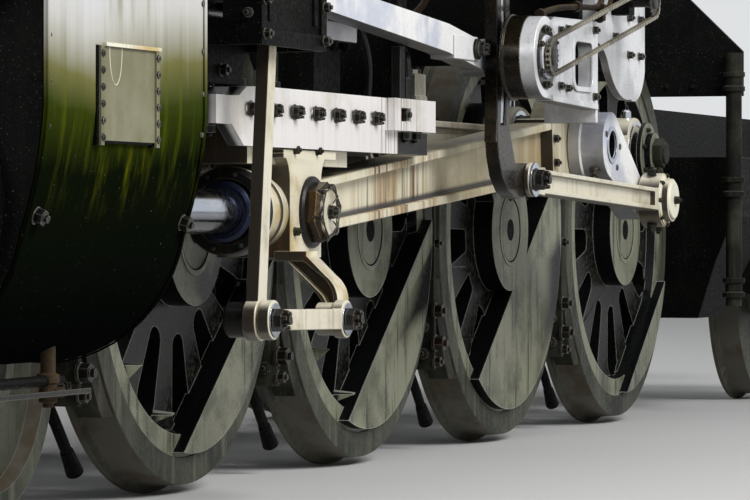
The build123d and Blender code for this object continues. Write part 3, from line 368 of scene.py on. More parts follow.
def jacket_paint():
    """Gloss paint on the cylinder jackets: a painted pale reflection above, green below and painted shade,
    nearly black, underneath.
    """
    paint = Paint("jacket_gloss")
    along, height = paint.along(), paint.height()
    # Painted reflection and shade: the ramp over height runs from painted shade, nearly black, underneath,
    # through the jacket's green, to a painted pale sky reflection on top; noise waves its levels.
    sway = paint.noise(1.3, 3.0) * 0.24 - 0.12
    stops = [
        (0.0, tone(7, 9, 8)),
        (0.42, tone(12, 17, 7)),
        (0.60, tone(46, 56, 12)),
        (0.72, tone(104, 102, 58)),
        (0.85, tone(186, 184, 178)),
        (1.0, tone(214, 216, 224)),
    ]
    level = (height + sway).range(-0.36, 0.82)
    ramp = paint.node("ShaderNodeValToRGB", {"stops": stops}, {"Fac": level})
    band = height.range(0.0, 0.25) * height.range(0.62, 0.4)
    paint.ground(ramp, tone(84, 92, 16), paint.drips(22.0, 0.4) * band * 0.4)
    below_cover = along.range(-0.22, -0.12) * along.range(0.2, 0.1)
    moss = below_cover * (height.range(0.0, 0.2) * height.range(0.25, 0.17) + height.range(0.45, 0.6))
    paint.over(tone(98, 104, 12), moss * paint.drips(20.0, 1.0) * 0.6)
    paint.over(tone(232, 232, 234), paint.drips(30.0, 0.35) * height.range(0.3, 0.75) * 0.35)
    paint.over(tone(150, 146, 120), paint.noise(150.0, 2.0).range(0.72, 0.78) * 0.4)
    roughness = paint.noise(9.0, 4.0).range(0.3, 0.7, 0.34, 0.5)
    coat = height.range(0.2, 0.7) * 0.25
    ripple = paint.noise(2.4, 2.0)
    return paint.worn(ripple, 0.3, 0.01, Roughness=roughness, Specular_IOR_Level=0.0, Coat_Weight=coat)


def wheel_paint():
    """Black oily wheels whose raised faces have worn to a dusty olive, with painted shade in the openings
    and pale edges that are partly wear and partly painted highlight.
    """
    paint = Paint("wheel_paint")
    side = abs(paint.facing("Y"))
    grit = paint.noise(60.0, 6.0, 0.7)
    # Painted shade: the web is nearly black where its faces turn away from the side, as inside the openings;
    # on its side faces the same near black shows only in the grit.
    web = paint.mix(tone(9, 10, 10), tone(56, 58, 48), grit.range(0.46, 0.7) * side.range(0.6, 0.95))
    paint.ground(tone(126, 127, 108), tone(92, 94, 79), paint.patches(4.0))
    paint.over(tone(28, 30, 25), paint.drips(30.0, 2.0) * 0.85)
    paint.over(tone(150, 150, 130), paint.noise(130.0, 3.0).range(0.6, 0.7) * 0.5)
    raised = paint.width().range(0.785, 0.8) * side.range(0.8, 0.95)
    paint.ground(web, paint.colour, raised)
    # Pale edges, partly wear and partly painted highlight.
    paint.over(tone(176, 178, 166), paint.rim(0.006) * 0.7)
    roughness = grit.range(0.3, 0.7, 0.24, 0.46)
    return paint.worn(grit, 0.5, 0.0015, Metallic=0.0, Roughness=roughness, Specular_IOR_Level=0.12)


def tyre_paint():
    """Tyres with a dusty face and a brighter tread."""
    paint = Paint("tyre_paint")
    paint.ground(tone(66, 68, 58), tone(42, 44, 38), paint.patches(3.0))
    paint.over(tone(104, 104, 88), paint.drips(20.0, 1.2) * 0.5)
    paint.over(tone(26, 26, 23), paint.drips(36.0, 2.0) * 0.7)
    tread = paint.mix(tone(84, 82, 74), tone(66, 52, 36), paint.patches(6.0) * 0.6)
    side = abs(paint.facing("Y"))
    paint.ground(tread, paint.colour, side.range(0.5, 0.9))
    # Pale edges, partly wear and partly painted highlight.
    paint.over(tone(160, 160, 146), paint.rim(0.004) * 0.4)
    grain = paint.noise(80.0, 5.0)
    roughness = grain.range(0.25, 0.75, 0.34, 0.55)
    return paint.worn(grain, 0.35, 0.001, Metallic=0.0, Roughness=roughness, Specular_IOR_Level=0.08)


def guide_paint():
    """Silver castings of the guides, with painted shadows beside the nuts, rust at the rear, and painted
    shade on the lower rear wall and on the parts inward of the outer face.
    """
    paint = Paint("guide_silver")
    along, height = paint.along(), paint.height()
    paint.ground(tone(226, 222, 220), tone(204, 198, 188), paint.patches(3.0))
    # Painted shadow: a dark patch just ahead of each slotted nut, at the nuts' height.
    place = (along - GUIDE_NUT_FIRST) * (1 / GUIDE_NUT_STEP) + 0.5
    phase = place.math("FRACT", place)
    beside = phase.range(0.16, 0.42) * phase.range(0.6, 0.5)
    level = height.range(0.332, 0.35) * height.range(0.386, 0.368)
    row = along.range(1.66, 1.7) * along.range(3.0, 2.95)
    painted_nut_shadow = (beside * level * row * 2.5).clamp() * paint.patches(40.0, 0.3, 0.5)
    paint.over(tone(16, 15, 14), painted_nut_shadow * 0.95)
    ahead_of_cap = along.range(2.9, 2.97) * along.range(3.2, 3.06)
    near = ahead_of_cap + along.range(3.19, 3.23) * along.range(3.32, 3.28)
    paint.over(tone(126, 84, 38), paint.drips(60.0, 1.0) * near * 0.9)
    paint.over(tone(40, 30, 20), paint.drips(90.0, 1.5) * (near * 0.8 + 0.12))
    # Painted shade: the lower rear wall past the end block and everything inward of the outer face are made
    # nearly black.
    painted_rear_shade = along.range(3.1, 3.13) * height.range(0.326, 0.322)
    painted_inner_shade = paint.width().range(1.24, 1.22)
    paint.over(tone(18, 17, 15), (painted_rear_shade + painted_inner_shade).clamp())
    paint.over(tone(244, 242, 238), paint.rim(0.004) * 0.3)
    grain = paint.noise(90.0, 4.0)
    return paint.worn(grain, 0.25, 0.0008, Metallic=0.1, Roughness=grain.range(0.2, 0.8, 0.4, 0.6))


def main_rod_paint(label):
    """Cream steel, rusty where the guide drips on it, with painted shade along the lower edge of its flutes
    and a lighter painted shade along the upper edge.
    """
    paint = Paint(f"main_rod_steel_{label}")
    wrist = station_of(f"main_rod_{label}_wrist")
    pin = station_of(f"side_rods_{label}_pin")
    slope = (pin[1] - wrist[1]) / (pin[0] - wrist[0])
    along = paint.along() - wrist[0]
    rise = paint.height() - wrist[1] - along * slope
    paint.ground(tone(224, 217, 192), tone(196, 184, 150), paint.patches(3.0))
    paint.over(tone(198, 182, 128), paint.drips(14.0, 0.7) * 0.6)
    dripped = along.range(0.6, 0.85) * along.range(1.6, 1.15)
    rusty = (dripped + along.range(2.3, 2.6) * 0.4 + 0.15).clamp()
    paint.over(tone(150, 112, 62), paint.runs(16.0, 0.6, 0.44, 0.64, 0.65) * rusty * 0.85)
    dark_runs = paint.runs(34.0, 0.8, 0.5, 0.66, 0.65)
    paint.over(tone(62, 36, 18), dark_runs * (dripped * 1.3 + 0.06).clamp())
    # Painted shade in the flutes: a dark bluish line along the sunk web's lower edge and a lighter brown
    # shade along its upper edge.
    sunk = paint.width().range(1.175, 1.165)
    half = along * 0.0096 + 0.05
    paint.over(tone(34, 36, 48), (0.02 - rise - half).range(0.0, 0.016) * sunk * 0.9)
    paint.over(tone(120, 108, 78), (rise - half + 0.012).range(0.0, 0.012) * sunk * 0.7)
    paint.over(tone(244, 240, 226), paint.rim(0.004) * 0.5)
    grain = paint.noise(90.0, 4.0)
    return paint.worn(grain, 0.25, 0.0008, Metallic=0.15, Roughness=grain.range(0.2, 0.8, 0.34, 0.54))


PAINTS = {}


def make_paints():
    PAINTS["jacket"] = jacket_paint()
    PAINTS["wheel"] = wheel_paint()
    PAINTS["tyre"] = tyre_paint()
    PAINTS["guide"] = guide_paint()
    for label in SIDES.values():
        PAINTS[f"main_rod_{label}"] = main_rod_paint(label)
    # Name, base and second colours, metallic, roughness, rust, oil, pale edges (partly wear, partly painted
    # highlight) and painted shade on the front faces.
    for name, *looks in (
        ("rod", tone(224, 217, 196), tone(188, 178, 150), 0.2, 0.34, 0.3, 0.5, 0.6, 0.97),
        ("crosshead", tone(226, 218, 194), tone(184, 162, 104), 0.15, 0.34, 0.5, 0.5, 0.6, 0.96),
        # The casting's bluish second colour, laid in patches, is a painted sky reflection.
        ("casting", tone(236, 235, 234), tone(196, 200, 212), 0.1, 0.32, 0.12, 0.3, 0.4, 0.6),
        ("bracket", tone(228, 228, 230), tone(190, 190, 192), 0.25, 0.32, 0.15, 0.3, 0.4, 0.0),
        ("bright", tone(206, 210, 218), tone(186, 192, 204), 1.0, 0.12, 0.0, 0.0, 0.0, 0.0),
        ("oily", tone(44, 38, 28), tone(14, 12, 10), 0.6, 0.22, 0.15, 0.3, 0.6, 0.0),
        ("nut", tone(24, 23, 22), tone(13, 12, 12), 0.3, 0.34, 0.2, 0.3, 0.3, 0.0),
        ("guide_cap", tone(150, 148, 138), tone(112, 108, 96), 0.3, 0.4, 0.4, 0.5, 0.5, 0.0),
        # The rod sleeve's dark blue is a painted reflection of the sky.
        ("blue_reflection", tone(44, 50, 72), tone(22, 25, 40), 0.8, 0.3, 0.0, 0.3, 0.3, 0.0),
        ("cap", tone(232, 228, 208), tone(196, 170, 112), 0.1, 0.4, 0.5, 0.3, 0.3, 0.0),
        ("oil_nut", tone(66, 52, 30), tone(20, 21, 30), 0.6, 0.24, 0.3, 0.4, 0.5, 0.0),
        ("chain", tone(150, 144, 126), tone(70, 62, 50), 0.6, 0.34, 0.2, 0.2, 0.4, 0.0),
    ):
        PAINTS[name] = steel_paint(f"{name}_steel", *looks)
    # Name, base and dust colours, dust on ledges, roughness, streaks and coat.
    for name, *looks in (
        ("cover", tone(116, 114, 88), tone(150, 148, 128), 0.45, 0.42, 0.4, 0.1),
        ("frame", tone(8, 9, 9), tone(30, 29, 26), 0.3, 0.5, 0.2, 0.0),
        ("iron", tone(28, 29, 26), tone(84, 82, 70), 0.45, 0.5, 0.5, 0.0),
        ("brown", tone(30, 24, 19), tone(92, 76, 56), 0.4, 0.5, 0.3, 0.0),
        # Near-black paint for sheets of painted shade and shadow, and for seams.
        ("shade_and_seam_black", tone(6, 6, 6), tone(16, 16, 14), 0.3, 0.6, 0.2, 0.0),
    ):
        PAINTS[name] = dusty_paint(f"{name}_paint", *looks)


# Paint, edge radius in millimetres (0 keeps the solid's own mesh), and the nodes that have both.
FINISH_GROUPS = (
    ("frame", 0, ("main_frame_left", "main_frame_right", "frame_rails", "frame_cross_ties",
                  "waist_plates", "cylinder_saddle", "cylinders", "sand_and_drain_pipes",
                  "driver_axleboxes", "trailing_truck_pivot", "leading_truck_frame")),
    ("frame", 4, ("cylinder_covers", "lubricators", "driver_springs")),
    ("frame", 6, ("ash_pans", "guide_carriers", "valve_guides", "trailing_truck_frame")),
    ("frame", 8, ("drag_box", "guide_yoke")),
    ("frame", 10, ("bumper_beam",)),
    ("jacket", 0, ("cylinder_jackets",)),
    ("nut", 0, ("lubricator_chains",)),
    ("guide", 3, ("crosshead_guides",)),
    ("bracket", 6, ("link_brackets",)),
    ("bright", 0, ("valve_stems",)),
    ("casting", 5, ("radius_rods",)),
    ("iron", 0, ("leading_truck_front_axle", "leading_truck_rear_axle", "trailing_truck_axle")),
    ("iron", 4, ("brake_hangers",)),
    ("tyre", 0, ("leading_truck_front_wheels", "leading_truck_rear_wheels", "trailing_truck_wheels")),
)
SIDED_FINISHES = {
    "side_rods": ("rod", 5),
    "crosshead": ("crosshead", 5),
    "piston_rod": ("bright", 0),
    "union_link": ("rod", 4),
    "combination_lever": ("rod", 4),
    "return_crank": ("casting", 6),
    "eccentric_rod": ("rod", 4),
    "link": ("oily", 4),
}
FINISHES = {node: (paint, edge) for paint, edge, nodes in FINISH_GROUPS for node in nodes}
for driver in range(1, len(DRIVERS) + 1):
    FINISHES[f"driver_{driver}_wheelset"] = ("wheel", 9)
    FINISHES[f"driver_{driver}_tyres"] = ("tyre", 3)
for end in SIDES.values():
    FINISHES[f"main_rod_{end}"] = (f"main_rod_{end}", 5)
    FINISHES.update({f"{node}_{end}": finish for node, finish in SIDED_FINISHES.items()})


def shown(name, mesh, body, paint, bevel, replaces=()):
    """Turns a finished mesh into a piece that rides on its body."""
    data = bpy.data.meshes.new(name)
    mesh.to_mesh(data)
    mesh.free()
    data.materials.append(PAINTS[paint])
    data.shade_smooth()
    data.set_sharp_from_angle(angle=SMOOTH_ANGLE)
    made = bpy.data.objects.new(name, data)
    bpy.context.scene.collection.objects.link(made)
    if bevel:
        edge = made.modifiers.new("Rounded edges", "BEVEL")
        edge.width = bevel
        edge.segments = 2
        edge.limit_method = "ANGLE"
        edge.angle_limit = SMOOTH_ANGLE
        edge.harden_normals = True
    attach(made, body)
    if replaces:
        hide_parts(*replaces)


def softened(node, bevel, paint):
    """The solid's own shape with its edges rounded, in place of the sharp one."""
    source = frame["nodes"][node]
    shape = bmesh.new()
    shape.from_mesh(source.data)
    bmesh.ops.remove_doubles(shape, verts=shape.verts, dist=2e-5)
    bmesh.ops.dissolve_limit(
        shape, angle_limit=radians(0.6), use_dissolve_boundaries=False,
        verts=shape.verts, edges=shape.edges, delimit={"NORMAL"},
    )
    if node.endswith("_wheelset"):
        round_openings(shape, DRIVERS[int(node.split("_")[1]) - 1])
    shown(f"{node}_finished", shape, source["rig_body"], paint, bevel, (node,))


def round_openings(shape, station):
    """Rounds the corners of the openings between the spokes, more at the rim than at the hub."""
    web_depth, web_face = 0.07, 0.78
    for nearest, farthest, radius in ((0.3, 0.4, 0.036), (0.5, 0.6, 0.06)):
        corners = []
        for edge in shape.edges:
            first, second = (vert.co for vert in edge.verts)
            middle = (first + second) / 2
            reach = hypot(middle.x - ORIGIN_X - station, middle.z - AXLE)
            across = abs(first.y - second.y) > web_depth and abs(middle.y) < web_face
            if nearest < reach < farthest and across:
                corners.append(edge)
        bmesh.ops.bevel(
            shape, geom=corners, offset=radius, segments=5, profile=0.5, affect="EDGES",
            clamp_overlap=True, material=-1,
        )


class Maker:
    """Models a piece of one side with mesh operators: x along, y outwards and z up."""

    def __init__(self, side, x=0.0, z=0.0, angle=0.0):
        self.label = SIDES[side]
        self.mesh = bmesh.new()
        place = Matrix.Translation((ORIGIN_X + x, 0, AXLE + z))
        self.base = place @ Matrix.Scale(side, 4, OUT) @ Matrix.Rotation(radians(-angle), 4, "Y")

    def spot(self, point):
        return self.base @ Vector(point)

    def cone(self, start, direction, length, radius, end_radius=None, segments=32, turn=0.0):
        direction = Vector(direction).normalized()
        facing = direction.to_track_quat("Z", "Y").to_matrix().to_4x4() @ Matrix.Rotation(turn, 4, "Z")
        middle = Matrix.Translation(Vector(start) + direction * length / 2)
        bmesh.ops.create_cone(
            self.mesh, cap_ends=True, segments=segments, radius1=radius,
            radius2=radius if end_radius is None else end_radius,
            depth=length, matrix=self.base @ middle @ facing,
        )

    def disc(self, x, z, radius, y0, y1, segments=32):
        self.cone((x, y0, z), OUT, y1 - y0, radius, segments=segments)

    def block(self, x0, x1, y0, y1, z0, z1):
        middle = Matrix.Translation(((x0 + x1) / 2, (y0 + y1) / 2, (z0 + z1) / 2))
        size = Matrix.Diagonal((x1 - x0, y1 - y0, z1 - z0, 1))
        bmesh.ops.create_cube(self.mesh, size=1.0, matrix=self.base @ middle @ size)

    def slab(self, points, y0, y1):
        verts = [self.mesh.verts.new(self.spot((x, y0, z))) for x, z in points]
        self.thicken([self.mesh.faces.new(verts)], y1 - y0)

    def thicken(self, faces, depth):
        made = bmesh.ops.extrude_face_region(self.mesh, geom=faces)["geom"]
        top = [part for part in made if isinstance(part, bmesh.types.BMVert)]
        bmesh.ops.translate(self.mesh, verts=top, vec=self.spot((0, depth, 0)) - self.spot((0, 0, 0)))

    def lathe(self, profile, start=(0, 0, 0), direction=OUT, segments=40, closed=False):
        """A turned shape from points of radius and distance, solid to its axis unless it is closed."""
        if not closed:
            ends = [(0.0, profile[-1][1])] if profile[-1][0] else []
            profile = [(0.0, profile[0][1]), *profile, *ends]
        facing = Vector(direction).normalized().to_track_quat("Z", "Y").to_matrix().to_4x4()
        place = self.base @ Matrix.Translation(start) @ facing
        points = [self.mesh.verts.new(place @ Vector((radius, 0, along))) for radius, along in profile]
        following = points[1:] + points[:1] if closed else points[1:]
        edges = [self.mesh.edges.new(pair) for pair in zip(points, following)]
        axis = (place.to_3x3() @ Vector(UP)).normalized()
        bmesh.ops.spin(
            self.mesh, geom=points + edges, cent=place.translation, axis=axis,
            angle=tau, steps=segments, use_merge=True,
        )

    def ring(self, inner, outer, y0, y1, start=(0, 0, 0), segments=40):
        self.lathe([(inner, y0), (outer, y0), (outer, y1), (inner, y1)], start, OUT, segments, True)

    def band(self, points, x0, x1, thickness):
        """A sheet that follows points of width and height, from one station to another."""
        verts = [self.mesh.verts.new(self.spot((x0, y, z))) for y, z in points]
        edges = [self.mesh.edges.new(pair) for pair in zip(verts, verts[1:])]
        made = bmesh.ops.extrude_edge_only(self.mesh, edges=edges)["geom"]
        moved = [part for part in made if isinstance(part, bmesh.types.BMVert)]
        faces = [part for part in made if isinstance(part, bmesh.types.BMFace)]
        bmesh.ops.translate(self.mesh, verts=moved, vec=(x1 - x0, 0, 0))
        bmesh.ops.solidify(self.mesh, geom=faces, thickness=thickness)

    def flange(self, outer, inner, y0, y1):
        """A flat frame between two outlines of as many points each."""
        edges = []
        for outline in (outer, inner):
            verts = [self.mesh.verts.new(self.spot((x, y0, z))) for x, z in outline]
            edges += [self.mesh.edges.new(pair) for pair in zip(verts, verts[1:] + verts[:1])]
        self.thicken(bmesh.ops.bridge_loops(self.mesh, edges=edges)["faces"], y1 - y0)

    def tube(self, points, radius, smooth=True, sides=3):
        curve = bpy.data.curves.new("path", "CURVE")
        curve.dimensions = "3D"
        curve.bevel_depth = radius
        curve.bevel_resolution = sides
        curve.use_fill_caps = True
        spline = curve.splines.new("NURBS" if smooth else "POLY")
        spline.points.add(len(points) - 1)
        for point, spot in zip(spline.points, points):
            point.co = (*self.spot(spot), 1.0)
        if smooth:
            spline.order_u = 3
            spline.use_endpoint_u = True
            spline.resolution_u = 6
        holder = bpy.data.objects.new("path", curve)
        shape = bpy.data.meshes.new_from_object(holder)
        self.mesh.from_mesh(shape)
        bpy.data.objects.remove(holder)
        bpy.data.curves.remove(curve)
        bpy.data.meshes.remove(shape)

    def wire(self, start, stop, bow, radius):
        """A lock wire that bows outwards between two points."""
        start, stop = Vector(start), Vector(stop)
        self.tube([start, (start + stop) / 2 + Vector((0, bow, 0)), stop], radius, False, 2)

    def bolt(self, start, across, direction=OUT):
        """A hexagon head on a washer, with the end of its stud."""
        start, direction = Vector(start), Vector(direction).normalized()
        self.cone(start - direction * LET_IN, direction, 0.12 * across + LET_IN, 0.64 * across, segments=20)
        # Each hexagon is turned by its station, so that no two in a row look alike.
        self.cone(start, direction, 0.75 * across, HEXAGON * across, segments=6, turn=start.x * 7)
        self.cone(start, direction, 1.05 * across, 0.26 * across, segments=14)

    def bolt_circle(self, start, radius, across, count, direction=OUT, turn=0.0):
        """Bolts on a circle about a point, on a face that looks along direction."""
        direction = Vector(direction).normalized()
        beside = direction.orthogonal().normalized()
        for k in range(count):
            outward = Matrix.Rotation(turn + tau * k / count, 3, direction) @ beside
            self.bolt(Vector(start) + outward * radius, across, direction)

    def castle_nut(self, start, across):
        """A hexagon nut that faces outwards, with a slotted crown, its stud and a split pin."""
        start, direction = Vector(start), Vector(OUT)
        self.cone(start - direction * LET_IN, direction, 0.06 * across + LET_IN, 0.66 * across, segments=24)
        self.cone(start, direction, 0.5 * across, HEXAGON * across, segments=6, turn=start.x * 5)
        self.cone(start, direction, 0.86 * across, 0.24 * across, segments=14)
        beside = direction.orthogonal().normalized()
        for k in range(6):
            outward = Matrix.Rotation(tau * k / 6, 3, direction) @ beside
            foot = start + outward * 0.41 * across + direction * 0.48 * across
            self.cone(foot, direction, 0.3 * across, 0.14 * across, 0.11 * across, 6)
        middle = start + direction * 0.66 * across
        self.cone(middle - beside * 0.62 * across, beside, 1.24 * across, 0.035 * across, segments=6)

    def rivet(self, start, radius, direction=OUT):
        past = Vector(start) + Vector(direction) * 0.5 * radius
        self.cone(start, direction, 0.5 * radius, radius, 0.8 * radius, 12)
        self.cone(past, direction, 0.3 * radius, 0.8 * radius, 0.35 * radius, 12)

    def piece(self, name, paint, bevel=0.0, body="root", replaces=()):
        """Closes the mesh and shows it, with the side's label after its name."""
        bmesh.ops.remove_doubles(self.mesh, verts=self.mesh.verts, dist=1e-6)
        bmesh.ops.recalc_face_normals(self.mesh, faces=self.mesh.faces)
        shown(f"{name}_{self.label}", self.mesh, body, paint, bevel, replaces)


class GEAR_OT_finish_solids(bpy.types.Operator):
    """Rounds the edges of the solids and gives each its paint"""

    bl_idname = "gear.finish_solids"
    bl_label = "Finish solids"

    def execute(self, context):
        make_paints()
        for node, solid in frame["nodes"].items():
            paint, rounding = FINISHES[node]
            solid.data.materials.clear()
            solid.data.materials.append(PAINTS[paint])
            if rounding:
                softened(node, rounding * MILLIMETRE, paint)
        return {"FINISHED"}


class GEAR_OT_jacket_fittings(bpy.types.Operator):
    """Adds the cover plates, bands, rivets and screws of the cylinder jackets"""

    bl_idname = "gear.jacket_fittings"
    bl_label = "Jacket fittings"

    def execute(self, context):
        size = context.scene.gear_sizes
        for side in SIDES:
            self.cover(side, size)
            self.screws(side)
            for name, x0, x1, last_angle in (
                ("front", -CYLINDER_BACK - 0.004, -CYLINDER_BACK + 0.012, -175),
                ("rear", CYLINDER_BACK - 0.012, CYLINDER_BACK + 0.004, -96),
            ):
                strip = Maker(side)
                strip.band(jacket_outline(last_angle), x0, x1, 0.003)
                strip.piece(f"jacket_band_{name}", "jacket")
        return {"FINISHED"}

    def cover(self, side, size):
        front, rear, low, high = -0.196, 0.17, 0.211, 0.461
        ledge, foot, half = low + 0.012, jacket_width(low), size.flange_width / 2
        plate = Maker(side)
        plate.block(front, rear, foot, JACKET_SIDE + 0.004, ledge, high)
        plate.piece("jacket_cover", "cover", 0.002)
        edges = Maker(side)
        for x in (front, rear):
            edges.block(x - half, x + half, foot, JACKET_SIDE + 0.01, low, high)
        edges.piece("jacket_cover_edges", "cover", 0.001)
        # Painted shadows: thin near-black strips just ahead of each flange and under the plate's lower edge.
        lines = Maker(side)
        for x in (front - half, rear - half):
            lines.block(x - 0.014, x, foot, JACKET_SIDE + 0.003, low, high)
        lines.block(front, rear, foot, JACKET_SIDE + 0.003, low + 0.006, ledge)
        lines.piece("jacket_cover_shadow_lines", "shade_and_seam_black")
        mark = Maker(side)
        outline = ((-0.14, high), (-0.14, 0.4), (-0.1, 0.352), (-0.06, 0.4), (-0.06, high))
        mark.tube([(x, JACKET_SIDE + 0.0038, z) for x, z in outline], 0.0016, sides=2)
        mark.piece("jacket_cover_mark", "cap")
        top = Maker(side)
        near, far = JACKET_SIDE - 0.002, JACKET_SIDE + 0.012
        top.block(front + 0.02, rear + 0.02, near, far, high - 0.002, high + 0.008)
        top.piece("jacket_cover_top", "cap", 0.001)
        rivets = Maker(side)
        margin, last = 0.02, 5
        for x in (front, rear):
            for k in range(last + 1):
                z = low + margin + (high - low - 2 * margin) * k / last
                rivets.rivet((x, JACKET_SIDE + 0.008, z), size.rivet_radius)
        rivets.piece("jacket_cover_rivets", "nut")

    def screws(self, side):
        screws = Maker(side)
        for x in (-0.506, 0.506):
            for z in (0.252, 0.36, 0.473, 0.6, 0.73):
                screws.rivet((x, jacket_width(z), z), 0.008)
        for x, z in ((-0.476, 0.036), (0.492, 0.021)):
            screws.bolt((x, jacket_width(z) - 0.004, z), 0.036, (0, 1, -0.3))
        screws.piece("jacket_screws", "nut")


class GEAR_OT_cylinder_nuts(bpy.types.Operator):
    """Adds the nuts and domed caps of the cylinder and valve covers, and the gland bushes"""

    bl_idname = "gear.cylinder_nuts"
    bl_label = "Cylinder nuts"

    def execute(self, context):
        across = context.scene.gear_sizes.cover_nut
        front = (-COVER_BACK, CYLINDER_WIDTH, CYLINDER_HEIGHT)
        gland = (GLAND_BACK, CYLINDER_WIDTH, CYLINDER_HEIGHT)
        for side in SIDES:
            nuts = Maker(side)
            nuts.bolt_circle(front, COVER_NUTS_RADIUS, across, COVER_NUTS, AHEAD)
            for k in range(COVER_NUTS):
                y, z = polar(COVER_NUTS_RADIUS, 360 * k / COVER_NUTS, CYLINDER_WIDTH, CYLINDER_HEIGHT)
                behind_guide = 0.26 < z < 0.42 and y < 1.24
                if y > 1.0 and z > -0.2 and not behind_guide:
                    nuts.bolt((COVER_BACK, y, z), across, BACK)
            nuts.bolt_circle(gland, 0.135, 0.028, 8, BACK, 0.39)
            for x, direction in ((-COVER_BACK, AHEAD), (COVER_BACK, BACK)):
                nuts.bolt_circle((x, VALVE_WIDTH, VALVE_HEIGHT), 0.182, 0.03, 12, direction)
            nuts.piece("cover_nuts", "nut")
            caps = Maker(side)
            dome = [(0.26, 0.0), (0.25, 0.018), (0.12, 0.03), (0.11, 0.05), (0.0, 0.055)]
            caps.lathe(dome, front, AHEAD)
            dome = [(0.145, 0.0), (0.135, 0.02), (0.06, 0.03), (0.055, 0.06), (0.0, 0.062)]
            caps.lathe(dome, (-COVER_BACK, VALVE_WIDTH, VALVE_HEIGHT), AHEAD)
            caps.piece("cover_caps", "frame", 0.003)
            bush = Maker(side)
            bore = ROD_RADIUS + 0.001
            profile = [(bore, 0.0), (0.105, 0.0), (0.105, 0.03), (0.085, 0.04), (bore, 0.04)]
            bush.lathe(profile, gland, BACK, closed=True)
            bush.piece("gland_bush", "iron", 0.002)
        return {"FINISHED"}


class GEAR_OT_guide_fittings(bpy.types.Operator):
    """Adds the slotted nuts, end caps, studs and pipes of the crosshead guides"""

    bl_idname = "gear.guide_fittings"
    bl_label = "Guide fittings"

    def execute(self, context):
        across = context.scene.gear_sizes.guide_nut
        for side in SIDES:
            nuts = Maker(side)
            for k in range(7):
                nuts.castle_nut((GUIDE_NUT_FIRST + GUIDE_NUT_STEP * k, GUIDE_FACE, GUIDE_NUT_HEIGHT), across)
            for x in (1.505, 1.57):
                nuts.bolt((x, 1.19, 0.311), 0.034, DOWN)
            for x in (3.2, 3.3):
                nuts.bolt((x, GUIDE_FACE, GUIDE_UNDER), 0.036, DOWN)
            nuts.piece("guide_nuts", "nut", 0.0008)
            self.end_block(side)
        return {"FINISHED"}

    def end_block(self, side):
        cap = Maker(side)
        cap.block(3.226, 3.334, 1.178, 1.276, GUIDE_TOP - 0.002, 0.518)
        cap.block(3.222, 3.338, 1.174, 1.28, GUIDE_TOP, GUIDE_TOP + 0.015)
        cap.cone((3.28, 1.226, 0.517), UP, 0.016, 0.04, segments=6)
        cap.piece("guide_cap", "guide_cap", 0.003)
        studs = Maker(side)
        studs.block(3.04, 3.09, 1.255, 1.285, GUIDE_TOP - 0.002, 0.6)
        studs.block(3.12, 3.2, 1.262, 1.28, GUIDE_TOP - 0.002, 0.5)
        studs.tube([(3.16, 1.27, GUIDE_TOP), (3.16, 1.27, 0.54), (3.17, 1.25, 0.6), (3.2, 1.2, 0.62)], 0.016)
        pipe = [(2.96, 1.2, GUIDE_TOP), (2.95, 1.21, 0.5), (2.9, 1.22, 0.58)]
        pipe += [(2.82, 1.22, 0.66), (2.8, 1.2, 0.74)]
        studs.tube(pipe, 0.012)
        studs.block(3.051, 3.149, 1.262, 1.268, 0.356, 0.399)
        studs.bolt((3.1, 1.266, 0.377), 0.036)
        for x in (3.235, 3.325):
            studs.bolt((x, 1.25, 0.518), 0.022, UP)
        for x in (1.72, 2.0, 2.3, 2.6):
            studs.bolt((x, 1.12, GUIDE_TOP), 0.04, UP)
        studs.piece("guide_studs", "nut", 0.0015)


class GEAR_OT_gear_stand(bpy.types.Operator):
    """Adds the reverse gear's small stand above each guide, with its bolts and pipes"""

    bl_idname = "gear.gear_stand"
    bl_label = "Reverse gear stand"

    def execute(self, context):
        middle, height = 2.625, 0.72
        for side in SIDES:
            stand = Maker(side)
            stand.block(2.45, 2.8, 1.16, 1.22, 0.6, 0.66)
            for x in (2.47, 2.73):
                stand.block(x, x + 0.05, 1.1, 1.22, 0.655, 0.8)
            stand.piece("gear_stand", "bracket", 0.004)
            post = Maker(side)
            post.block(2.5, 2.75, 1.06, 1.18, 0.425, 0.605)
            post.block(2.52, 2.73, 1.1, 1.2, 0.65, 0.86)
            post.disc(middle, height, 0.05, 1.19, 1.235)
            for x in (2.5, 2.62, 2.74):
                post.bolt((x, 1.2, 0.601), 0.03, DOWN)
            post.bolt_circle((middle, 1.232, height), 0.032, 0.014, 6)
            ahead = [(2.62, 1.12, 0.85), (2.6, 1.12, 0.92), (2.4, 1.12, 0.94)]
            ahead += [(2.1, 1.16, 0.9), (1.84, 1.25, 0.86)]
            behind = [(2.66, 1.12, 0.85), (2.7, 1.12, 0.94), (2.9, 1.14, 0.98), (3.115, 1.16, 0.98)]
            for pipe in (ahead, behind):
                post.tube(pipe, 0.014)
            post.piece("gear_stand_post", "frame", 0.003)
        return {"FINISHED"}


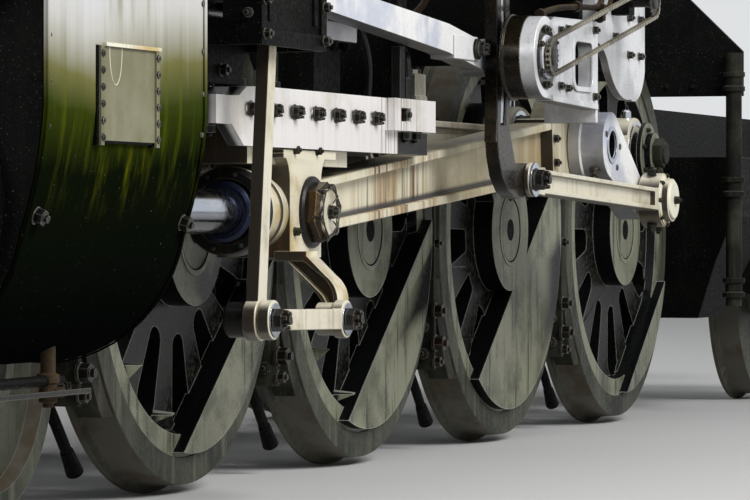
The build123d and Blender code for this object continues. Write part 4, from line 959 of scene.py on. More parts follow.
class GEAR_OT_crosshead_fittings(bpy.types.Operator):
    """Adds the wrist pin's nut, lock wires and rings, and the piston rod's sleeve"""

    bl_idname = "gear.crosshead_fittings"
    bl_label = "Crosshead fittings"

    def execute(self, context):
        size = context.scene.gear_sizes
        for side, label in SIDES.items():
            wrist = station_of(f"main_rod_{label}_wrist")
            body = f"crosshead_{label}"
            self.wrist_nut(side, wrist, body, size)
            self.socket(side, wrist[0] - SOCKET_FRONT, body)
            self.pins(side, wrist, body, size.union_nut)
            low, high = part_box(f"piston_rod_{label}")
            rod = Maker(side, low.x - ORIGIN_X, CYLINDER_HEIGHT)
            radius, length = ROD_RADIUS - 0.0006, high.x - low.x
            rod.lathe([(radius, 0.0), (radius, length)], (0, CYLINDER_WIDTH, 0), BACK, 72)
            rod.piece("piston_rod_round", "bright", 0.002, body, (f"piston_rod_{label}",))
        return {"FINISHED"}

    def wrist_nut(self, side, wrist, body, size):
        foot, face = CHEEK_FACE + 0.01, CHEEK_FACE + 0.056
        shoulder, corner = face - 0.012, HEXAGON * size.wrist_nut
        ring = Maker(side, *wrist)
        ring.lathe([(0.112, CHEEK_FACE - 0.002), (0.112, CHEEK_FACE + 0.008), (0.104, CHEEK_FACE + 0.016)])
        ring.piece("wrist_ring", "nut", 0.002, body)
        nut = Maker(side, *wrist)
        nut.cone((0, foot, 0), OUT, shoulder - foot, corner, segments=6, turn=0.2)
        nut.cone((0, shoulder, 0), OUT, face - shoulder, corner, 0.5 * size.wrist_nut, 6, 0.2)
        nut.piece("wrist_nut", "oil_nut", 0.003, body)
        cap = Maker(side, *wrist)
        cap.lathe([(0.074, face - 0.002), (0.07, face + 0.004), (0.0, face + 0.006)])
        cap.piece("wrist_cap", "rod", 0.001, body)
        pin = Maker(side, *wrist)
        pin.castle_nut((0, face + 0.004, 0), 0.036)
        self.lock_wires(pin, face, size.wire_radius)
        pin.piece("wrist_pin_wires", "nut", 0.0, body)

    def lock_wires(self, pin, face, radius):
        """Six screws round the nut, wired in a ring and across its middle."""
        for k in range(6):
            x, z = polar(0.084, 60 * k + 12)
            next_x, next_z = polar(0.084, 60 * k + 72)
            pin.cone((x, face - 0.02, z), OUT, 0.03, 0.008, segments=10)
            for low, high in ((0.004, 0.013), (0.013, 0.003)):
                pin.wire((x, face + low, z), (next_x, face + high, next_z), 0.002, radius)
        for spread in (-0.6, 0.6):
            for turn in (70, -70):
                x, z = polar(0.03, turn + 60 * spread)
                end_x, end_z = polar(0.094, turn - 40 * spread)
                pin.wire((x, face + 0.02, z), (end_x, face - 0.002, end_z), 0.013, radius)

    def socket(self, side, front, body):
        middle = (front, CYLINDER_WIDTH, CYLINDER_HEIGHT)
        bore = ROD_RADIUS + 0.0005
        dark = [(0.101, -0.006), (0.128, -0.006), (0.134, 0.004), (0.134, 0.058), (0.101, 0.058)]
        bright = [(0.131, 0.05), (0.136, 0.052), (0.136, 0.07), (0.117, 0.08), (0.114, 0.08)]
        collar = [(0.115, 0.17), (0.124, 0.175), (0.124, 0.2), (0.115, 0.205)]
        sleeve = [(bore, -0.028), (0.082, -0.028), (0.093, -0.02), (0.093, 0.024), (bore, 0.024)]
        for name, paint, bevel, profiles in (
            ("socket_ring", "nut", 0.002, (dark,)),
            ("socket_bright_ring", "rod", 0.0015, (bright, collar)),
            # The sleeve's blue stands for a painted sky reflection.
            ("rod_sleeve", "blue_reflection", 0.0015, (sleeve,)),
        ):
            rings = Maker(side)
            for profile in profiles:
                rings.lathe(profile, middle, BACK, 56, True)
            rings.piece(name, paint, bevel, body)
        screws = Maker(side)
        screws.bolt_circle((front - 0.006, CYLINDER_WIDTH, CYLINDER_HEIGHT), 0.116, 0.012, 8, AHEAD, 0.3)
        screws.piece("socket_screws", "iron", 0.0, body)

    def pins(self, side, wrist, body, across):
        ends = union_ends(SIDES[side])
        nuts = Maker(side)
        washers = Maker(side)
        for x, z in ends:
            nuts.castle_nut((x, UNION_OUTER, z), across)
            washers.lathe([(0.05, UNION_OUTER - 0.002), (0.05, UNION_OUTER + 0.004)], (x, 0, z))
        nuts.piece("union_nuts", "nut", 0.001, body)
        washers.piece("union_washers", "bright", 0.001, body)
        head = Maker(side, *ends[0])
        head.lathe([(0.044, 1.295), (0.052, 1.303), (0.052, 1.361)])
        head.piece("lever_pin_head", "nut", 0.0015, f"combination_lever_{SIDES[side]}")
        bolts = Maker(side, *wrist)
        for x, z in ((-0.15, 0.19), (0.05, 0.19), (-0.15, -0.06), (0.06, -0.06)):
            bolts.bolt((x, CHEEK_FACE, z), 0.022)
        bolts.piece("cheek_bolts", "iron", 0.0, body)


class GEAR_OT_rod_fittings(bpy.types.Operator):
    """Adds the bearing rings, oil cups and collars of the main and side rods"""

    bl_idname = "gear.rod_fittings"
    bl_label = "Rod fittings"

    def execute(self, context):
        across = context.scene.gear_sizes.collar_nut
        for side, label in SIDES.items():
            wrist = station_of(f"main_rod_{label}_wrist")
            pin = station_of(f"side_rods_{label}_pin")
            self.main_rod(side, wrist, pin, f"main_rod_{label}")
            pins = [(station + pin[0] - DRIVERS[2], pin[1]) for station in DRIVERS]
            bushes = Maker(side)
            for x, z in pins:
                bushes.ring(0.118, 0.135, SIDE_ROD_FACE, SIDE_ROD_FACE + 0.007, (x, 0, z))
                cup = [(0.022, 0.0), (0.022, 0.03), (0.014, 0.038)]
                bushes.lathe(cup, (x, SIDE_ROD_MIDDLE, z + 0.146), UP, 18)
            bushes.piece("side_rod_bushes", "bright", 0.001, f"side_rods_{label}")
            self.collars(side, pins, across)
        return {"FINISHED"}

    def main_rod(self, side, wrist, pin, body):
        tilt, reach = bearing(wrist, pin), hypot(pin[0] - wrist[0], pin[1] - wrist[1])
        straps = Maker(side, *wrist, tilt)
        straps.block(reach - 0.33, reach - 0.29, MAIN_ROD_IN, MAIN_ROD_OUT, -0.12, 0.12)
        straps.block(0.19, 0.22, MAIN_ROD_IN, MAIN_ROD_OUT, -0.088, 0.088)
        straps.piece("main_rod_straps", "rod", 0.003, body)
        keys = Maker(side, *wrist, tilt)
        for along in (0.205, reach - 0.31):
            for lift in (-0.045, 0.045):
                keys.bolt((along, MAIN_ROD_OUT - 0.001, lift), 0.026)
        cup = [(0.026, 0.0), (0.026, 0.035), (0.018, 0.045)]
        keys.lathe(cup, (reach, MAIN_ROD_MIDDLE, 0.185), UP, 20)
        keys.piece("main_rod_keys", "nut", 0.001, body)

    def collars(self, side, pins, across):
        for number, end in ((1, 0.972), (2, 0.985), (4, 1.08)):
            collar = Maker(side, *pins[number - 1])
            if number == 4:
                collar.cone((0, 1.018, 0), OUT, 0.07, HEXAGON * across, segments=6)
                collar.lathe([(0.05, end), (0.045, end + 0.02), (0.0, end + 0.022)])
                collar.bolt_circle((0, 1.02, 0), 0.1, 0.018, 6)
            else:
                collar.lathe([(0.07, end - 0.004), (0.066, end + 0.004), (0.0, end + 0.006)])
            collar.piece(f"crank_pin_cap_{number}", "iron", 0.002, f"driver_{number}")


class GEAR_OT_crank_fittings(bpy.types.Operator):
    """Adds the return cranks' bolts and rings and the eccentric rods' caps"""

    bl_idname = "gear.crank_fittings"
    bl_label = "Return crank fittings"

    def execute(self, context):
        for side, label in SIDES.items():
            body = f"return_crank_{label}"
            pin = station_of(f"{body}_spin")
            angle = bearing((DRIVERS[2], 0.0), pin) - RETURN_LEAD
            tip = polar(RETURN_THROW, angle, DRIVERS[2])
            turn = bearing(pin, tip)
            ring = Maker(side, *pin, turn)
            ring.ring(0.054, 0.072, RETURN_FACE, RETURN_FACE + 0.006)
            ring.piece("return_crank_ring", "bright", 0.001, body)
            bolts = Maker(side, *pin, turn)
            for x, z in ((0.1, 0.045), (0.1, -0.045), (-0.09, 0.0)):
                bolts.disc(x, z, 0.012, RETURN_FACE + 0.001, RETURN_FACE + 0.006, 16)
            bolts.bolt((0.175, RETURN_MIDDLE, 0.066), 0.03, UP)
            bolts.bolt((-0.03, RETURN_MIDDLE, -0.124), 0.034, DOWN)
            bolts.piece("return_crank_bolts", "nut", 0.001, body)
            # The recess is lined with near-black painted shade.
            recess = Maker(side, *pin, turn)
            cup = [(0.0, 1.303), (0.0525, 1.303), (0.0525, 1.326)]
            cup += [(0.046, 1.326), (0.046, 1.308), (0.0, 1.308)]
            recess.lathe(cup, closed=True)
            recess.piece("return_crank_recess_shade", "shade_and_seam_black", 0.0, body)
            self.cap(side, tip, f"eccentric_rod_{label}")
            self.fork(side, station_of(f"eccentric_rod_{label}_pin"), f"eccentric_rod_{label}")
        return {"FINISHED"}

    def cap(self, side, tip, body):
        cap = Maker(side, *tip)
        cap.lathe([(0.076, 1.458), (0.076, 1.463), (0.07, 1.468)])
        cap.lathe([(0.084, 1.429), (0.1, 1.429), (0.1, 1.434), (0.084, 1.437)], closed=True)
        cap.piece("eccentric_cap", "cap", 0.002, body)
        bolts = Maker(side, *tip)
        bolts.bolt_circle((0, 1.43, 0), 0.095, 0.016, 8)
        bolts.bolt((0, 1.467, 0), 0.026)
        for x in (-0.05, 0.05):
            bolts.bolt((x, ECCENTRIC_MIDDLE, -0.098), 0.032, DOWN)
            bolts.bolt((x, ECCENTRIC_MIDDLE, 0.098), 0.03, UP)
        bolts.piece("eccentric_bolts", "iron", 0.0008, body)

    def fork(self, side, foot, body):
        washer = Maker(side, *foot)
        washer.lathe([(0.056, 1.429), (0.06, 1.435), (0.06, 1.441)])
        washer.piece("fork_washer", "bright", 0.001, body)
        nut = Maker(side, *foot)
        nut.castle_nut((0, 1.441, 0), 0.062)
        nut.lathe([(0.04, 1.318), (0.046, 1.325), (0.046, 1.347)])
        nut.piece("fork_pin_nut", "nut", 0.001, body)


class GEAR_OT_link_fittings(bpy.types.Operator):
    """Adds a bright strip in each expansion link's slot as a painted highlight, and the bolted sleeve round
    its bearing
    """

    bl_idname = "gear.link_fittings"
    bl_label = "Link fittings"

    def execute(self, context):
        for side, label in SIDES.items():
            trunnion = station_of(f"link_{label}_trunnion")
            foot = station_of(f"eccentric_rod_{label}_pin")
            lean = bearing(trunnion, foot) - bearing(trunnion, LINK_FOOT)
            # The bright strip along the slot's front edge is a painted highlight.
            strip = Maker(side, *trunnion, lean)
            half_angle, width, inset = 0.225 / LINK_SWEEP, 0.03, 0.012
            turns = [half_angle * k / 8 for k in range(-8, 9)]
            front = [(LINK_SWEEP * (cos(a) - 1) - inset, LINK_SWEEP * sin(a)) for a in turns]
            strip.slab(front + [(x + width, z) for x, z in reversed(front)], 1.37, 1.406)
            strip.piece("link_highlight_strips", "bright", 0.001, f"link_{label}")
            self.face(side, trunnion, lean, f"link_{label}")
            self.rod_end(side)
            self.trunnion_cap(side, trunnion)
        return {"FINISHED"}

    def face(self, side, trunnion, lean, body):
        """The curved link drawn as one sweep down to the eccentric rod's pin."""
        front = [(-0.074, 0.28), (-0.074, 0.15), (-0.074, 0.0), (-0.074, -0.15)]
        front += [(-0.066, -0.26), (-0.044, -0.34)]
        sweep = [(-0.004, -0.41), (0.06, -0.456), (0.14, -0.478), (0.22, -0.482), (0.29, -0.474)]
        toe = arc(LINK_FOOT[0] - LINK_SHAFT[0], LINK_FOOT[1] - LINK_SHAFT[1], 0.06, -75, 75, 8)
        back = [(0.24, -0.362), (0.18, -0.366), (0.13, -0.35), (0.096, -0.31), (0.08, -0.25), (0.074, -0.15)]
        slot = [(0.074, 0.0), (0.074, 0.28), (0.028, 0.28), (0.028, 0.0), (0.028, -0.23)]
        slot += [(-0.028, -0.23), (-0.028, 0.0), (-0.028, 0.28)]
        points = front + sweep + toe + back + slot
        bowed = [(x - z * z / (2 * LINK_SWEEP) if z > -0.3 else x - 0.02, z) for x, z in points]
        sheet = Maker(side, *trunnion, lean)
        sheet.slab(bowed, 1.3645, 1.4115)
        sheet.piece("link_face", "oily", 0.004, body)

    def rod_end(self, side):
        end = Maker(side)
        end.block(3.4, 3.66, 1.268, 1.356, 0.572, 0.656)
        end.piece("radius_rod_end", "casting", 0.006)
        pin = Maker(side, *RADIUS_ROD_END)
        pin.lathe([(0.036, 1.355), (0.036, 1.366), (0.03, 1.37)])
        pin.castle_nut((0, 1.37, 0), 0.04)
        pin.piece("radius_rod_pin", "nut", 0.001)

    def trunnion_cap(self, side, trunnion):
        drum = Maker(side, *trunnion)
        profile = [(0.062, 1.4385), (0.15, 1.4385), (0.15, 1.446)]
        profile += [(0.143, 1.45), (0.143, 1.508), (0.062, 1.508)]
        drum.lathe(profile, segments=56, closed=True)
        drum.ring(0.03, 0.112, 1.558, 1.562, segments=48)
        drum.piece("bearing_drum", "oily", 0.002)
        cap = Maker(side, *trunnion)
        cap.lathe([(0.078, 1.56), (0.074, 1.57)])
        cap.piece("bearing_cap", "casting", 0.002)
        bolts = Maker(side, *trunnion)
        bolts.bolt_circle((0, 1.562, 0), 0.094, 0.02, 6, turn=0.2)
        bolts.piece("bearing_bolts", "nut")


class GEAR_OT_bracket_fittings(bpy.types.Operator):
    """Adds the window flange, bolts and oil pipes of the link brackets, and a near-black sheet of painted
    shade in each window
    """

    bl_idname = "gear.bracket_fittings"
    bl_label = "Bracket fittings"

    def execute(self, context):
        for side in SIDES:
            rim = Maker(side)
            outer = rounded_frame(4.318, 4.585, 0.492, 0.689, 0.05)
            inner = rounded_frame(4.338, 4.565, 0.512, 0.669, 0.034)
            rim.flange(outer, inner, BRACKET_FACE - 0.004, BRACKET_FACE + 0.008)
            foot = [(4.06, 0.448), (4.63, 0.433), (4.63, 0.455), (4.06, 0.47)]
            rim.slab(foot, 1.44, BRACKET_FACE + 0.01)
            rim.piece("bracket_flanges", "bracket", 0.004)
            # A near-black sheet of painted shade fills the window.
            window = Maker(side)
            window.block(4.31, 4.59, 1.439, 1.444, 0.49, 0.69)
            window.piece("bracket_window_shade", "shade_and_seam_black")
            self.bolts(side)
            self.pipes(side)
        return {"FINISHED"}

    def bolts(self, side):
        casting = ((4.16, 0.505), (4.6, 0.48), (4.6, 0.72), (4.16, 0.7), (4.25, 0.5), (4.25, 0.71))
        lobe = ((5.3, 0.66), (5.3, 0.8), (5.45, 0.66), (5.45, 0.8), (4.8, 0.86), (5.1, 0.72))
        beam = ((3.35, 0.99), (3.7, 0.99), (4.05, 0.99), (4.4, 0.99))
        bolts = Maker(side)
        for face, across, places in (
            (BRACKET_FACE, 0.024, casting), (LOBE_FACE, 0.026, lobe), (BEAM_FACE, 0.03, beam)
        ):
            for x, z in places:
                bolts.bolt((x, face, z), across)
        bolts.piece("bracket_bolts", "nut")

    def pipes(self, side):
        upper = [(4.68, 1.44, 0.93), (4.7, 1.5, 0.86), (4.62, 1.515, 0.8), (4.3, 1.52, 0.79)]
        upper += [(4.0, 1.52, 0.77), (3.86, 1.52, 0.745)]
        lower = [(4.9, 1.46, 0.93), (4.86, 1.5, 0.87), (4.7, 1.505, 0.77), (4.6, 1.505, 0.765)]
        inner = [(3.6, 1.2, 0.93), (3.55, 1.22, 0.8), (3.4, 1.22, 0.72), (3.3, 1.2, 0.7)]
        pipes = Maker(side)
        for points, radius in ((upper, 0.011), (lower, 0.009), (inner, 0.012)):
            pipes.tube(points, radius)
        for x, z in ((3.86, 0.74), (4.3, 0.79), (4.62, 0.8), (4.6, 0.765)):
            pipes.cone((x - 0.018, 1.518, z), (1, 0, 0.05), 0.036, 0.02, segments=6)
        pipes.piece("bracket_pipes", "brown", 0.001)


class GEAR_OT_lubricator_drive(bpy.types.Operator):
    """Adds the roller chains, their sprockets and the lubricators' pumps and pipes"""

    bl_idname = "gear.lubricator_drive"
    bl_label = "Lubricator drive"

    def execute(self, context):
        pitch = context.scene.gear_sizes.chain_pitch
        for side in SIDES:
            self.chain(side, pitch)
            self.sprocket(side, "link", LINK_SHAFT, 1.556)
            self.sprocket(side, "oiler", OILER_SHAFT, 1.49)
            self.oiler(side)
        return {"FINISHED"}

    def chain(self, side, pitch):
        span = hypot(OILER_SHAFT[0] - LINK_SHAFT[0], OILER_SHAFT[1] - LINK_SHAFT[1])
        loop = 2 * span + tau * SPROCKET_RADIUS
        count = 2 * round(loop / pitch / 2)
        ends = [self.place(k * loop / count, span) for k in range(count + 1)]
        chain = Maker(side, *LINK_SHAFT, bearing(LINK_SHAFT, OILER_SHAFT))
        for k, (start, stop) in enumerate(zip(ends, ends[1:])):
            self.link(chain, start, stop, 0.0056 if k % 2 else 0.0082)
        # The left chain stands for the node that holds both.
        chain.piece("roller_chain", "chain", replaces=("lubricator_chains",) if side < 0 else ())

    def place(self, along, span):
        """A point of the chain's loop, by its distance from where it leaves the front sprocket."""
        if along < span:
            return along, SPROCKET_RADIUS
        along -= span
        if along < pi * SPROCKET_RADIUS:
            return polar(SPROCKET_RADIUS, 90 - degrees(along / SPROCKET_RADIUS), span)
        along -= pi * SPROCKET_RADIUS
        if along < span:
            return span - along, -SPROCKET_RADIUS
        return polar(SPROCKET_RADIUS, 270 - degrees((along - span) / SPROCKET_RADIUS))

    def link(self, chain, start, stop, half):
        """Two plates with waists, half their distance from the middle, and the roller between them."""
        turn = bearing(start, stop)
        length = hypot(stop[0] - start[0], stop[1] - start[1])
        plate = []
        for centre, heading, waist in ((length, 0, CHAIN_WAIST), (0.0, 180, -CHAIN_WAIST)):
            plate += [polar(CHAIN_EYE, heading + 45 * k, centre) for k in range(-2, 3)]
            plate.append((length / 2, waist))
        placed = [polar(hypot(x, z), turn + degrees(atan2(z, x)), *start) for x, z in plate]
        for y in (CHAIN_MIDDLE - half, CHAIN_MIDDLE + half - CHAIN_PLATE):
            chain.slab(placed, y, y + CHAIN_PLATE)
        chain.disc(*start, ROLLER_RADIUS, CHAIN_MIDDLE - ROLLER_HALF, CHAIN_MIDDLE + ROLLER_HALF, 8)

    def sprocket(self, side, name, shaft, inner):
        sprocket = Maker(side, *shaft)
        root, tip = SPROCKET_RADIUS - 0.007, SPROCKET_RADIUS + 0.003
        tooth = ((root, 0.0), (tip, 0.32), (tip, 0.5), (root, 0.8))
        pitch = 360 / SPROCKET_TEETH
        teeth = [polar(reach, pitch * (k + part)) for k in range(SPROCKET_TEETH) for reach, part in tooth]
        sprocket.slab(teeth, CHAIN_MIDDLE - 0.003, CHAIN_MIDDLE + 0.003)
        near, far = CHAIN_MIDDLE - 0.008, CHAIN_MIDDLE + 0.008
        sprocket.lathe([(0.022, inner), (0.022, near), (0.03, near), (0.03, far), (0.016, far + 0.002)])
        sprocket.piece(f"sprocket_{name}", "nut", 0.0006)

    def oiler(self, side):
        first, step = 4.99, 0.066
        pumps = Maker(side)
        for k in range(6):
            x = first + step * k
            cap = [(0.018, 1.34), (0.018, 1.352), (0.012, 1.354), (0.012, 1.37), (0.0, 1.372)]
            pumps.lathe(cap, (x, 1.33, 0.0), UP, 14)
            pumps.bolt((x, 1.498, 1.12), 0.026)
            pipe = [(x, 1.505, 1.12), (x, 1.53, 1.11), (x - 0.02, 1.535, 1.05)]
            pipe += [(4.9 - 0.03 * k, 1.53, 0.98 - 0.014 * k), (4.72 - 0.05 * k, 1.52, 0.955 - 0.012 * k)]
            pipe.append((4.5 - 0.08 * k, 1.515, 0.95))
            pumps.tube(pipe, 0.0055, sides=2)
        pumps.piece("lubricator_pumps", "brown")
        lid = Maker(side)
        lid.disc(5.29, 1.2, 0.05, 1.5, 1.508)
        lid.bolt_circle((5.29, 1.507, 1.2), 0.04, 0.012, 6)
        for x in (4.98, 5.17, 5.36):
            lid.block(x - 0.015, x + 0.015, 1.255, 1.512, 1.338, 1.349)
        lid.piece("lubricator_lid", "iron", 0.0015)


class GEAR_OT_casting_fittings(bpy.types.Operator):
    """Adds the bolts, bosses and ribs of the valve stem guides, and the waist plates' rivets"""

    bl_idname = "gear.casting_fittings"
    bl_label = "Casting fittings"

    def execute(self, context):
        for side in SIDES:
            bolts = Maker(side)
            for x in (1.315, 1.815):
                for z in (0.56, 0.66, 0.83, 0.93):
                    bolts.bolt((x, VALVE_GUIDE_FACE, z), 0.026)
            for x in (1.42, 1.565, 1.7):
                bolts.bolt((x, VALVE_GUIDE_FACE, 0.945), 0.022)
            for z in (0.62, 0.7, 0.78, 0.86):
                for y in (1.23, 1.42):
                    bolts.bolt((1.291, y, z), 0.024, AHEAD)
            bolts.bolt((1.6, 1.214, 0.47), 0.03)
            bolts.piece("valve_guide_bolts", "nut")
            boss = Maker(side)
            boss.lathe([(0.06, 1.449), (0.055, 1.462), (0.03, 1.466)], (1.57, 0, 0.75))
            for x in (1.36, 1.74):
                boss.block(x, x + 0.03, 1.449, 1.458, 0.6, 0.9)
            boss.piece("valve_guide_boss", "frame", 0.003)
            self.plate_rivets(side)
        return {"FINISHED"}

    def plate_rivets(self, side):
        rows = [(x, 0.2 + 0.12 * k, 0.64) for x in WAIST_PLATES for k in range(8)]
        rows += [(x, 1.11, 0.64 + 0.06 * k) for x in WAIST_PLATES for k in range(3)]
        rows += [(-2.45, 0.25 + 0.09 * k, z) for k in range(12) for z in (0.33, -0.02)]
        plates = Maker(side)
        for place in rows:
            plates.rivet(place, 0.014, AHEAD)
        plates.piece("plate_rivets", "frame")


class GEAR_OT_wheel_details(bpy.types.Operator):
    """Adds the axle seams and key marks of the wheels, and a near-black disc of painted shade in each centre
    hole
    """

    bl_idname = "gear.wheel_details"
    bl_label = "Wheel details"

    def execute(self, context):
        for side in SIDES:
            for number, station in enumerate(DRIVERS, start=1):
                body, sunk, shallow = f"driver_{number}", HUB_FACE - 0.004, HUB_FACE + 0.0022
                seam = Maker(side, station)
                seam.ring(0.122, 0.1265, HUB_FACE, HUB_FACE + 0.0024, segments=64)
                # The centre disc is painted shade standing for the axle's bore.
                seam.lathe([(0.042, sunk), (0.042, shallow)], segments=32)
                seam.block(-0.012, 0.012, sunk, shallow, 0.112, 0.136)
                seam.piece(f"axle_seam_{number}", "shade_and_seam_black", 0.0, body)
                hub = Maker(side, station)
                hub.ring(0.127, 0.142, HUB_FACE, HUB_FACE + 0.004, segments=64)
                hub.piece(f"hub_ring_{number}", "wheel", 0.001, body)
            for name, station, radius, reach in (
                ("leading_front", TRUCK_PIVOT - TRUCK_REACH, TRUCK_WHEEL, TRUCK_AXLE_END),
                ("leading_rear", TRUCK_PIVOT + TRUCK_REACH, TRUCK_WHEEL, TRUCK_AXLE_END),
                ("trailing", TRAILING_AXLE, TRAILING_WHEEL, TRAILING_AXLE_END),
            ):
                end = Maker(side, station, radius + FLANGE - AXLE)
                end.lathe([(0.03, reach - 0.002), (0.03, reach + 0.002)])
                end.bolt_circle((0, reach, 0), 0.052, 0.02, 3)
                end.piece(f"axle_end_{name}", "nut", 0.0, f"{name}_axle")
        return {"FINISHED"}


class GEAR_OT_brake_fittings(bpy.types.Operator):
    """Adds the bolts and pins of the brake hangers, the sand pipes and the drain cocks"""

    bl_idname = "gear.brake_fittings"
    bl_label = "Brakes and pipes"

    def execute(self, context):
        radius = context.scene.gear_sizes.riser_radius
        outer = ((0.375, 0.05), (0.2, 0.03), (-0.05, 0.03), (-0.3, 0.044), (-0.42, 0.05), (-0.49, 0.034))
        for side in SIDES:
            bolts, pipes = Maker(side), Maker(side)
            for x in (station - HANGER_AHEAD for station in DRIVERS):
                for z, across in outer:
                    bolts.bolt((x, HANGER_FACE, z), across)
                for z in (0.1, -0.15, -0.36, -0.46):
                    bolts.bolt((x - 0.013, 0.775, z), 0.034, AHEAD)
                pipe = [(x, 0.6, 0.28), (x, 0.64, 0.28), (x, 0.64, 0.2), (x, 0.64, -0.36)]
                pipe += [(x + 0.03, 0.69, -0.5), (x + 0.06, 0.714, -0.58), (x + 0.19, 0.714, -0.72)]
                pipes.tube(pipe, 0.018)
                pipes.cone((x + 0.135, 0.714, -0.66), (0.68, 0, -0.73), 0.09, 0.021, 0.028, 16)
            bolts.piece("brake_bolts", "nut")
            drain = ((-0.48, -0.39), (-0.2, -0.392), (0.22, -0.39))
            pipes.tube([(x, DRAIN_WIDTH, z) for x, z in drain], 0.015)
            # The left pipes stand for the node that holds both sides.
            pipes.piece("sand_pipes", "frame", replaces=("sand_and_drain_pipes",) if side < 0 else ())
            self.drain_cocks(side)
            self.riser(side, radius)
        return {"FINISHED"}

    def drain_cocks(self, side):
        profile = [(0.014, -0.46), (0.014, -0.45), (0.024, -0.445), (0.024, -0.4), (0.03, -0.396)]
        profile += [(0.03, -0.375), (0.02, -0.37), (0.02, -0.28)]
        cocks = Maker(side)
        for x in (-0.4, 0.14):
            cocks.lathe(profile, (x, DRAIN_WIDTH, 0), UP, 20)
            cocks.cone((x, 1.325, -0.42), OUT, 0.02, 0.014, segments=6)
            cocks.block(x - 0.05, x + 0.012, 1.338, 1.346, -0.43, -0.412)
        cocks.piece("drain_cocks", "brown", 0.001)
        rod = Maker(side)
        rod.block(-0.55, 0.3, 1.346, 1.354, -0.428, -0.414)
        rod.piece("cock_rod", "nut", 0.001)

    def riser(self, side, radius):
        """The upright pipe behind the fourth driver, with its couplings."""
        riser = Maker(side)
        riser.tube([(RISER, RISER_WIDTH, z) for z in (-0.34, 0.2, 0.79)], radius, False, 6)
        coupling = [(0.05, 0.0), (0.05, 0.02), (0.038, 0.025), (0.038, 0.06), (0.05, 0.065), (0.05, 0.085)]
        for z in (-0.3, 0.15, 0.62):
            riser.lathe(coupling, (RISER, RISER_WIDTH, z), UP, 24)
        riser.block(RISER, 8.235, RISER_WIDTH - 0.03, RISER_WIDTH + 0.03, 0.68, 0.73)
        riser.piece("riser", "iron", 0.001)


class GEAR_OT_stage(bpy.types.Operator):
    """Sets the floor, the studio light and the camera"""

    bl_idname = "gear.stage"
    bl_label = "Stage"

    def execute(self, context):
        scene = context.scene
        size = scene.gear_stage
        floor = bpy.data.meshes.new("floor")
        plane = bmesh.new()
        bmesh.ops.create_grid(plane, x_segments=1, y_segments=1, size=size.floor_size / 2)
        plane.to_mesh(floor)
        plane.free()
        ground = bpy.data.objects.new("floor", floor)
        scene.collection.objects.link(ground)
        floor.materials.append(Paint("studio_floor").finish(Base_Color=size.floor_colour, Roughness=0.9))
        self.light_world(scene, size)
        self.add_lamps(scene, size)
        self.place_camera(scene, size)
        scene.view_settings.view_transform = "Standard"
        return {"FINISHED"}

    def light_world(self, scene, size):
        """Soft light from all round, behind a backdrop that only the camera and gloss see."""
        scene.world = bpy.data.worlds.new("studio")
        sky = Nodes(scene.world)
        camera, glossy, transmission = (
            sky.node("ShaderNodeLightPath", {}, {}, ray)
            for ray in ("Is Camera Ray", "Is Glossy Ray", "Is Transmission Ray")
        )
        seen = camera.math("MAXIMUM", camera, glossy)
        seen = seen.math("MAXIMUM", seen, transmission)
        soft, backdrop = (
            sky.node("ShaderNodeBackground", {}, {"Color": size.sky_colour, "Strength": strength})
            for strength in (size.sky_light, size.backdrop_light)
        )
        blend = sky.node("ShaderNodeMixShader", {}, {0: seen, 1: soft, 2: backdrop})
        sky.end("ShaderNodeOutputWorld", blend)

    def add_lamps(self, scene, size):
        aim = Vector((-1.0, 0.0, 1.0))
        for name, place, power, width in (
            ("key", (-6.0, -13.0, 11.0), size.key_power, 9.0),
            ("fill", (-18.0, 3.0, 6.0), size.fill_power, 8.0),
            ("back", (9.0, 13.0, 9.0), size.fill_power, 8.0),
        ):
            lamp = bpy.data.lights.new(name, "AREA")
            lamp.shape = "DISK"
            lamp.size = width
            lamp.energy = power
            holder = bpy.data.objects.new(name, lamp)
            holder.location = place
            holder.rotation_euler = (aim - Vector(place)).to_track_quat("-Z", "Y").to_euler()
            scene.collection.objects.link(holder)

    def place_camera(self, scene, size):
        lens = bpy.data.cameras.new("camera")
        lens.lens = size.lens
        lens.sensor_width = 36.0
        lens.shift_y = -size.rise
        lens.clip_end = 200.0
        camera = bpy.data.objects.new("camera", lens)
        camera.location = (ORIGIN_X + size.camera_station, -size.camera_width, AXLE)
        camera.rotation_euler = (radians(90), 0, -size.camera_turn)
        scene.collection.objects.link(camera)
        scene.camera = camera


def number_setting(name, description, default, **extra):
    return bpy.props.FloatProperty(name=name, description=description, default=default, **extra)


def length_setting(name, description, default):
    return number_setting(name, description, default, unit="LENGTH")


def colour_setting(name, description, default):
    return bpy.props.FloatVectorProperty(
        name=name, description=description, default=default, subtype="COLOR"
    )


class GEAR_PG_sizes(bpy.types.PropertyGroup):
    """Sizes of the fittings"""

    rivet_radius: length_setting("Rivet", "Radius of a rivet", 0.011)
    flange_width: length_setting("Cover flange", "Width of the jacket cover's flanges", 0.02)
    cover_nut: length_setting("Cover nut", "Cylinder cover nut across flats", 0.04)
    guide_nut: length_setting("Guide nut", "Guide nut across flats", 0.038)
    wrist_nut: length_setting("Wrist nut", "Wrist pin nut across flats", 0.168)
    union_nut: length_setting("Union nut", "Union link nut across flats", 0.058)
    collar_nut: length_setting("Collar nut", "Crank pin nut across flats", 0.11)
    wire_radius: length_setting("Lock wire", "Radius of the lock wire", 0.0024)
    riser_radius: length_setting("Riser", "Radius of the upright pipe", 0.036)
    chain_pitch: length_setting("Chain pitch", "Pitch of the roller chain", 0.019)


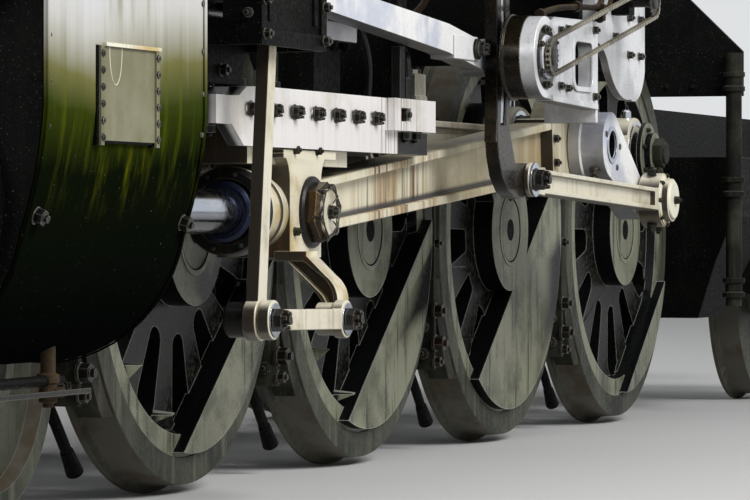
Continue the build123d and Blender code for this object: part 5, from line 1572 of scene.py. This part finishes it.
class GEAR_PG_stage(bpy.types.PropertyGroup):
    """Floor, light and camera"""

    floor_size: length_setting("Floor size", "Width of the floor", 120.0)
    floor_colour: colour_setting("Floor colour", "Colour of the floor", (0.62, 0.62, 0.61))
    sky_colour: colour_setting("Backdrop colour", "Colour of the backdrop", (0.92, 0.94, 0.96))
    sky_light: number_setting("Sky light", "Soft light from all round", 0.34)
    backdrop_light: number_setting("Backdrop light", "How bright the backdrop looks", 0.8)
    key_power: number_setting("Key light", "Power of the key light", 2500.0, unit="POWER")
    fill_power: number_setting("Fill light", "Power of the fill lights", 500.0, unit="POWER")
    lens: number_setting("Lens", "Focal length in millimetres", 196.2)
    rise: number_setting("Rise", "How far the view is lowered, as a share of its width", 0.0267)
    camera_station: length_setting("Camera station", "Camera's distance behind the cylinders", -9.6)
    camera_width: length_setting("Camera width", "Camera's distance from the centre line", 5.55)
    camera_turn: number_setting(
        "Camera turn", "Camera's turn from the left side", radians(71), subtype="ANGLE"
    )


class GEAR_PT_panel(bpy.types.Panel):
    """Lists the steps in the order in which they are made"""

    bl_idname = "GEAR_PT_panel"
    bl_label = "Running Gear"
    bl_space_type = "VIEW_3D"
    bl_region_type = "UI"
    bl_category = "Running Gear"

    def draw(self, context):
        for step in STEPS:
            self.layout.operator(step.bl_idname)


STEPS = [
    GEAR_OT_finish_solids,
    GEAR_OT_jacket_fittings,
    GEAR_OT_cylinder_nuts,
    GEAR_OT_guide_fittings,
    GEAR_OT_gear_stand,
    GEAR_OT_crosshead_fittings,
    GEAR_OT_rod_fittings,
    GEAR_OT_crank_fittings,
    GEAR_OT_link_fittings,
    GEAR_OT_bracket_fittings,
    GEAR_OT_lubricator_drive,
    GEAR_OT_casting_fittings,
    GEAR_OT_wheel_details,
    GEAR_OT_brake_fittings,
    GEAR_OT_stage,
]
CLASSES = [GEAR_PG_stage, GEAR_PG_sizes, *STEPS, GEAR_PT_panel]


def register():
    for part in CLASSES:
        bpy.utils.register_class(part)
    bpy.types.Scene.gear_stage = bpy.props.PointerProperty(type=GEAR_PG_stage)
    bpy.types.Scene.gear_sizes = bpy.props.PointerProperty(type=GEAR_PG_sizes)


def unregister():
    del bpy.types.Scene.gear_sizes
    del bpy.types.Scene.gear_stage
    for part in reversed(CLASSES):
        bpy.utils.unregister_class(part)


def main():
    register()
    for step in STEPS:
        area, name = step.bl_idname.split(".")
        getattr(getattr(bpy.ops, area), name)()


if __name__ == "__main__":
    main()
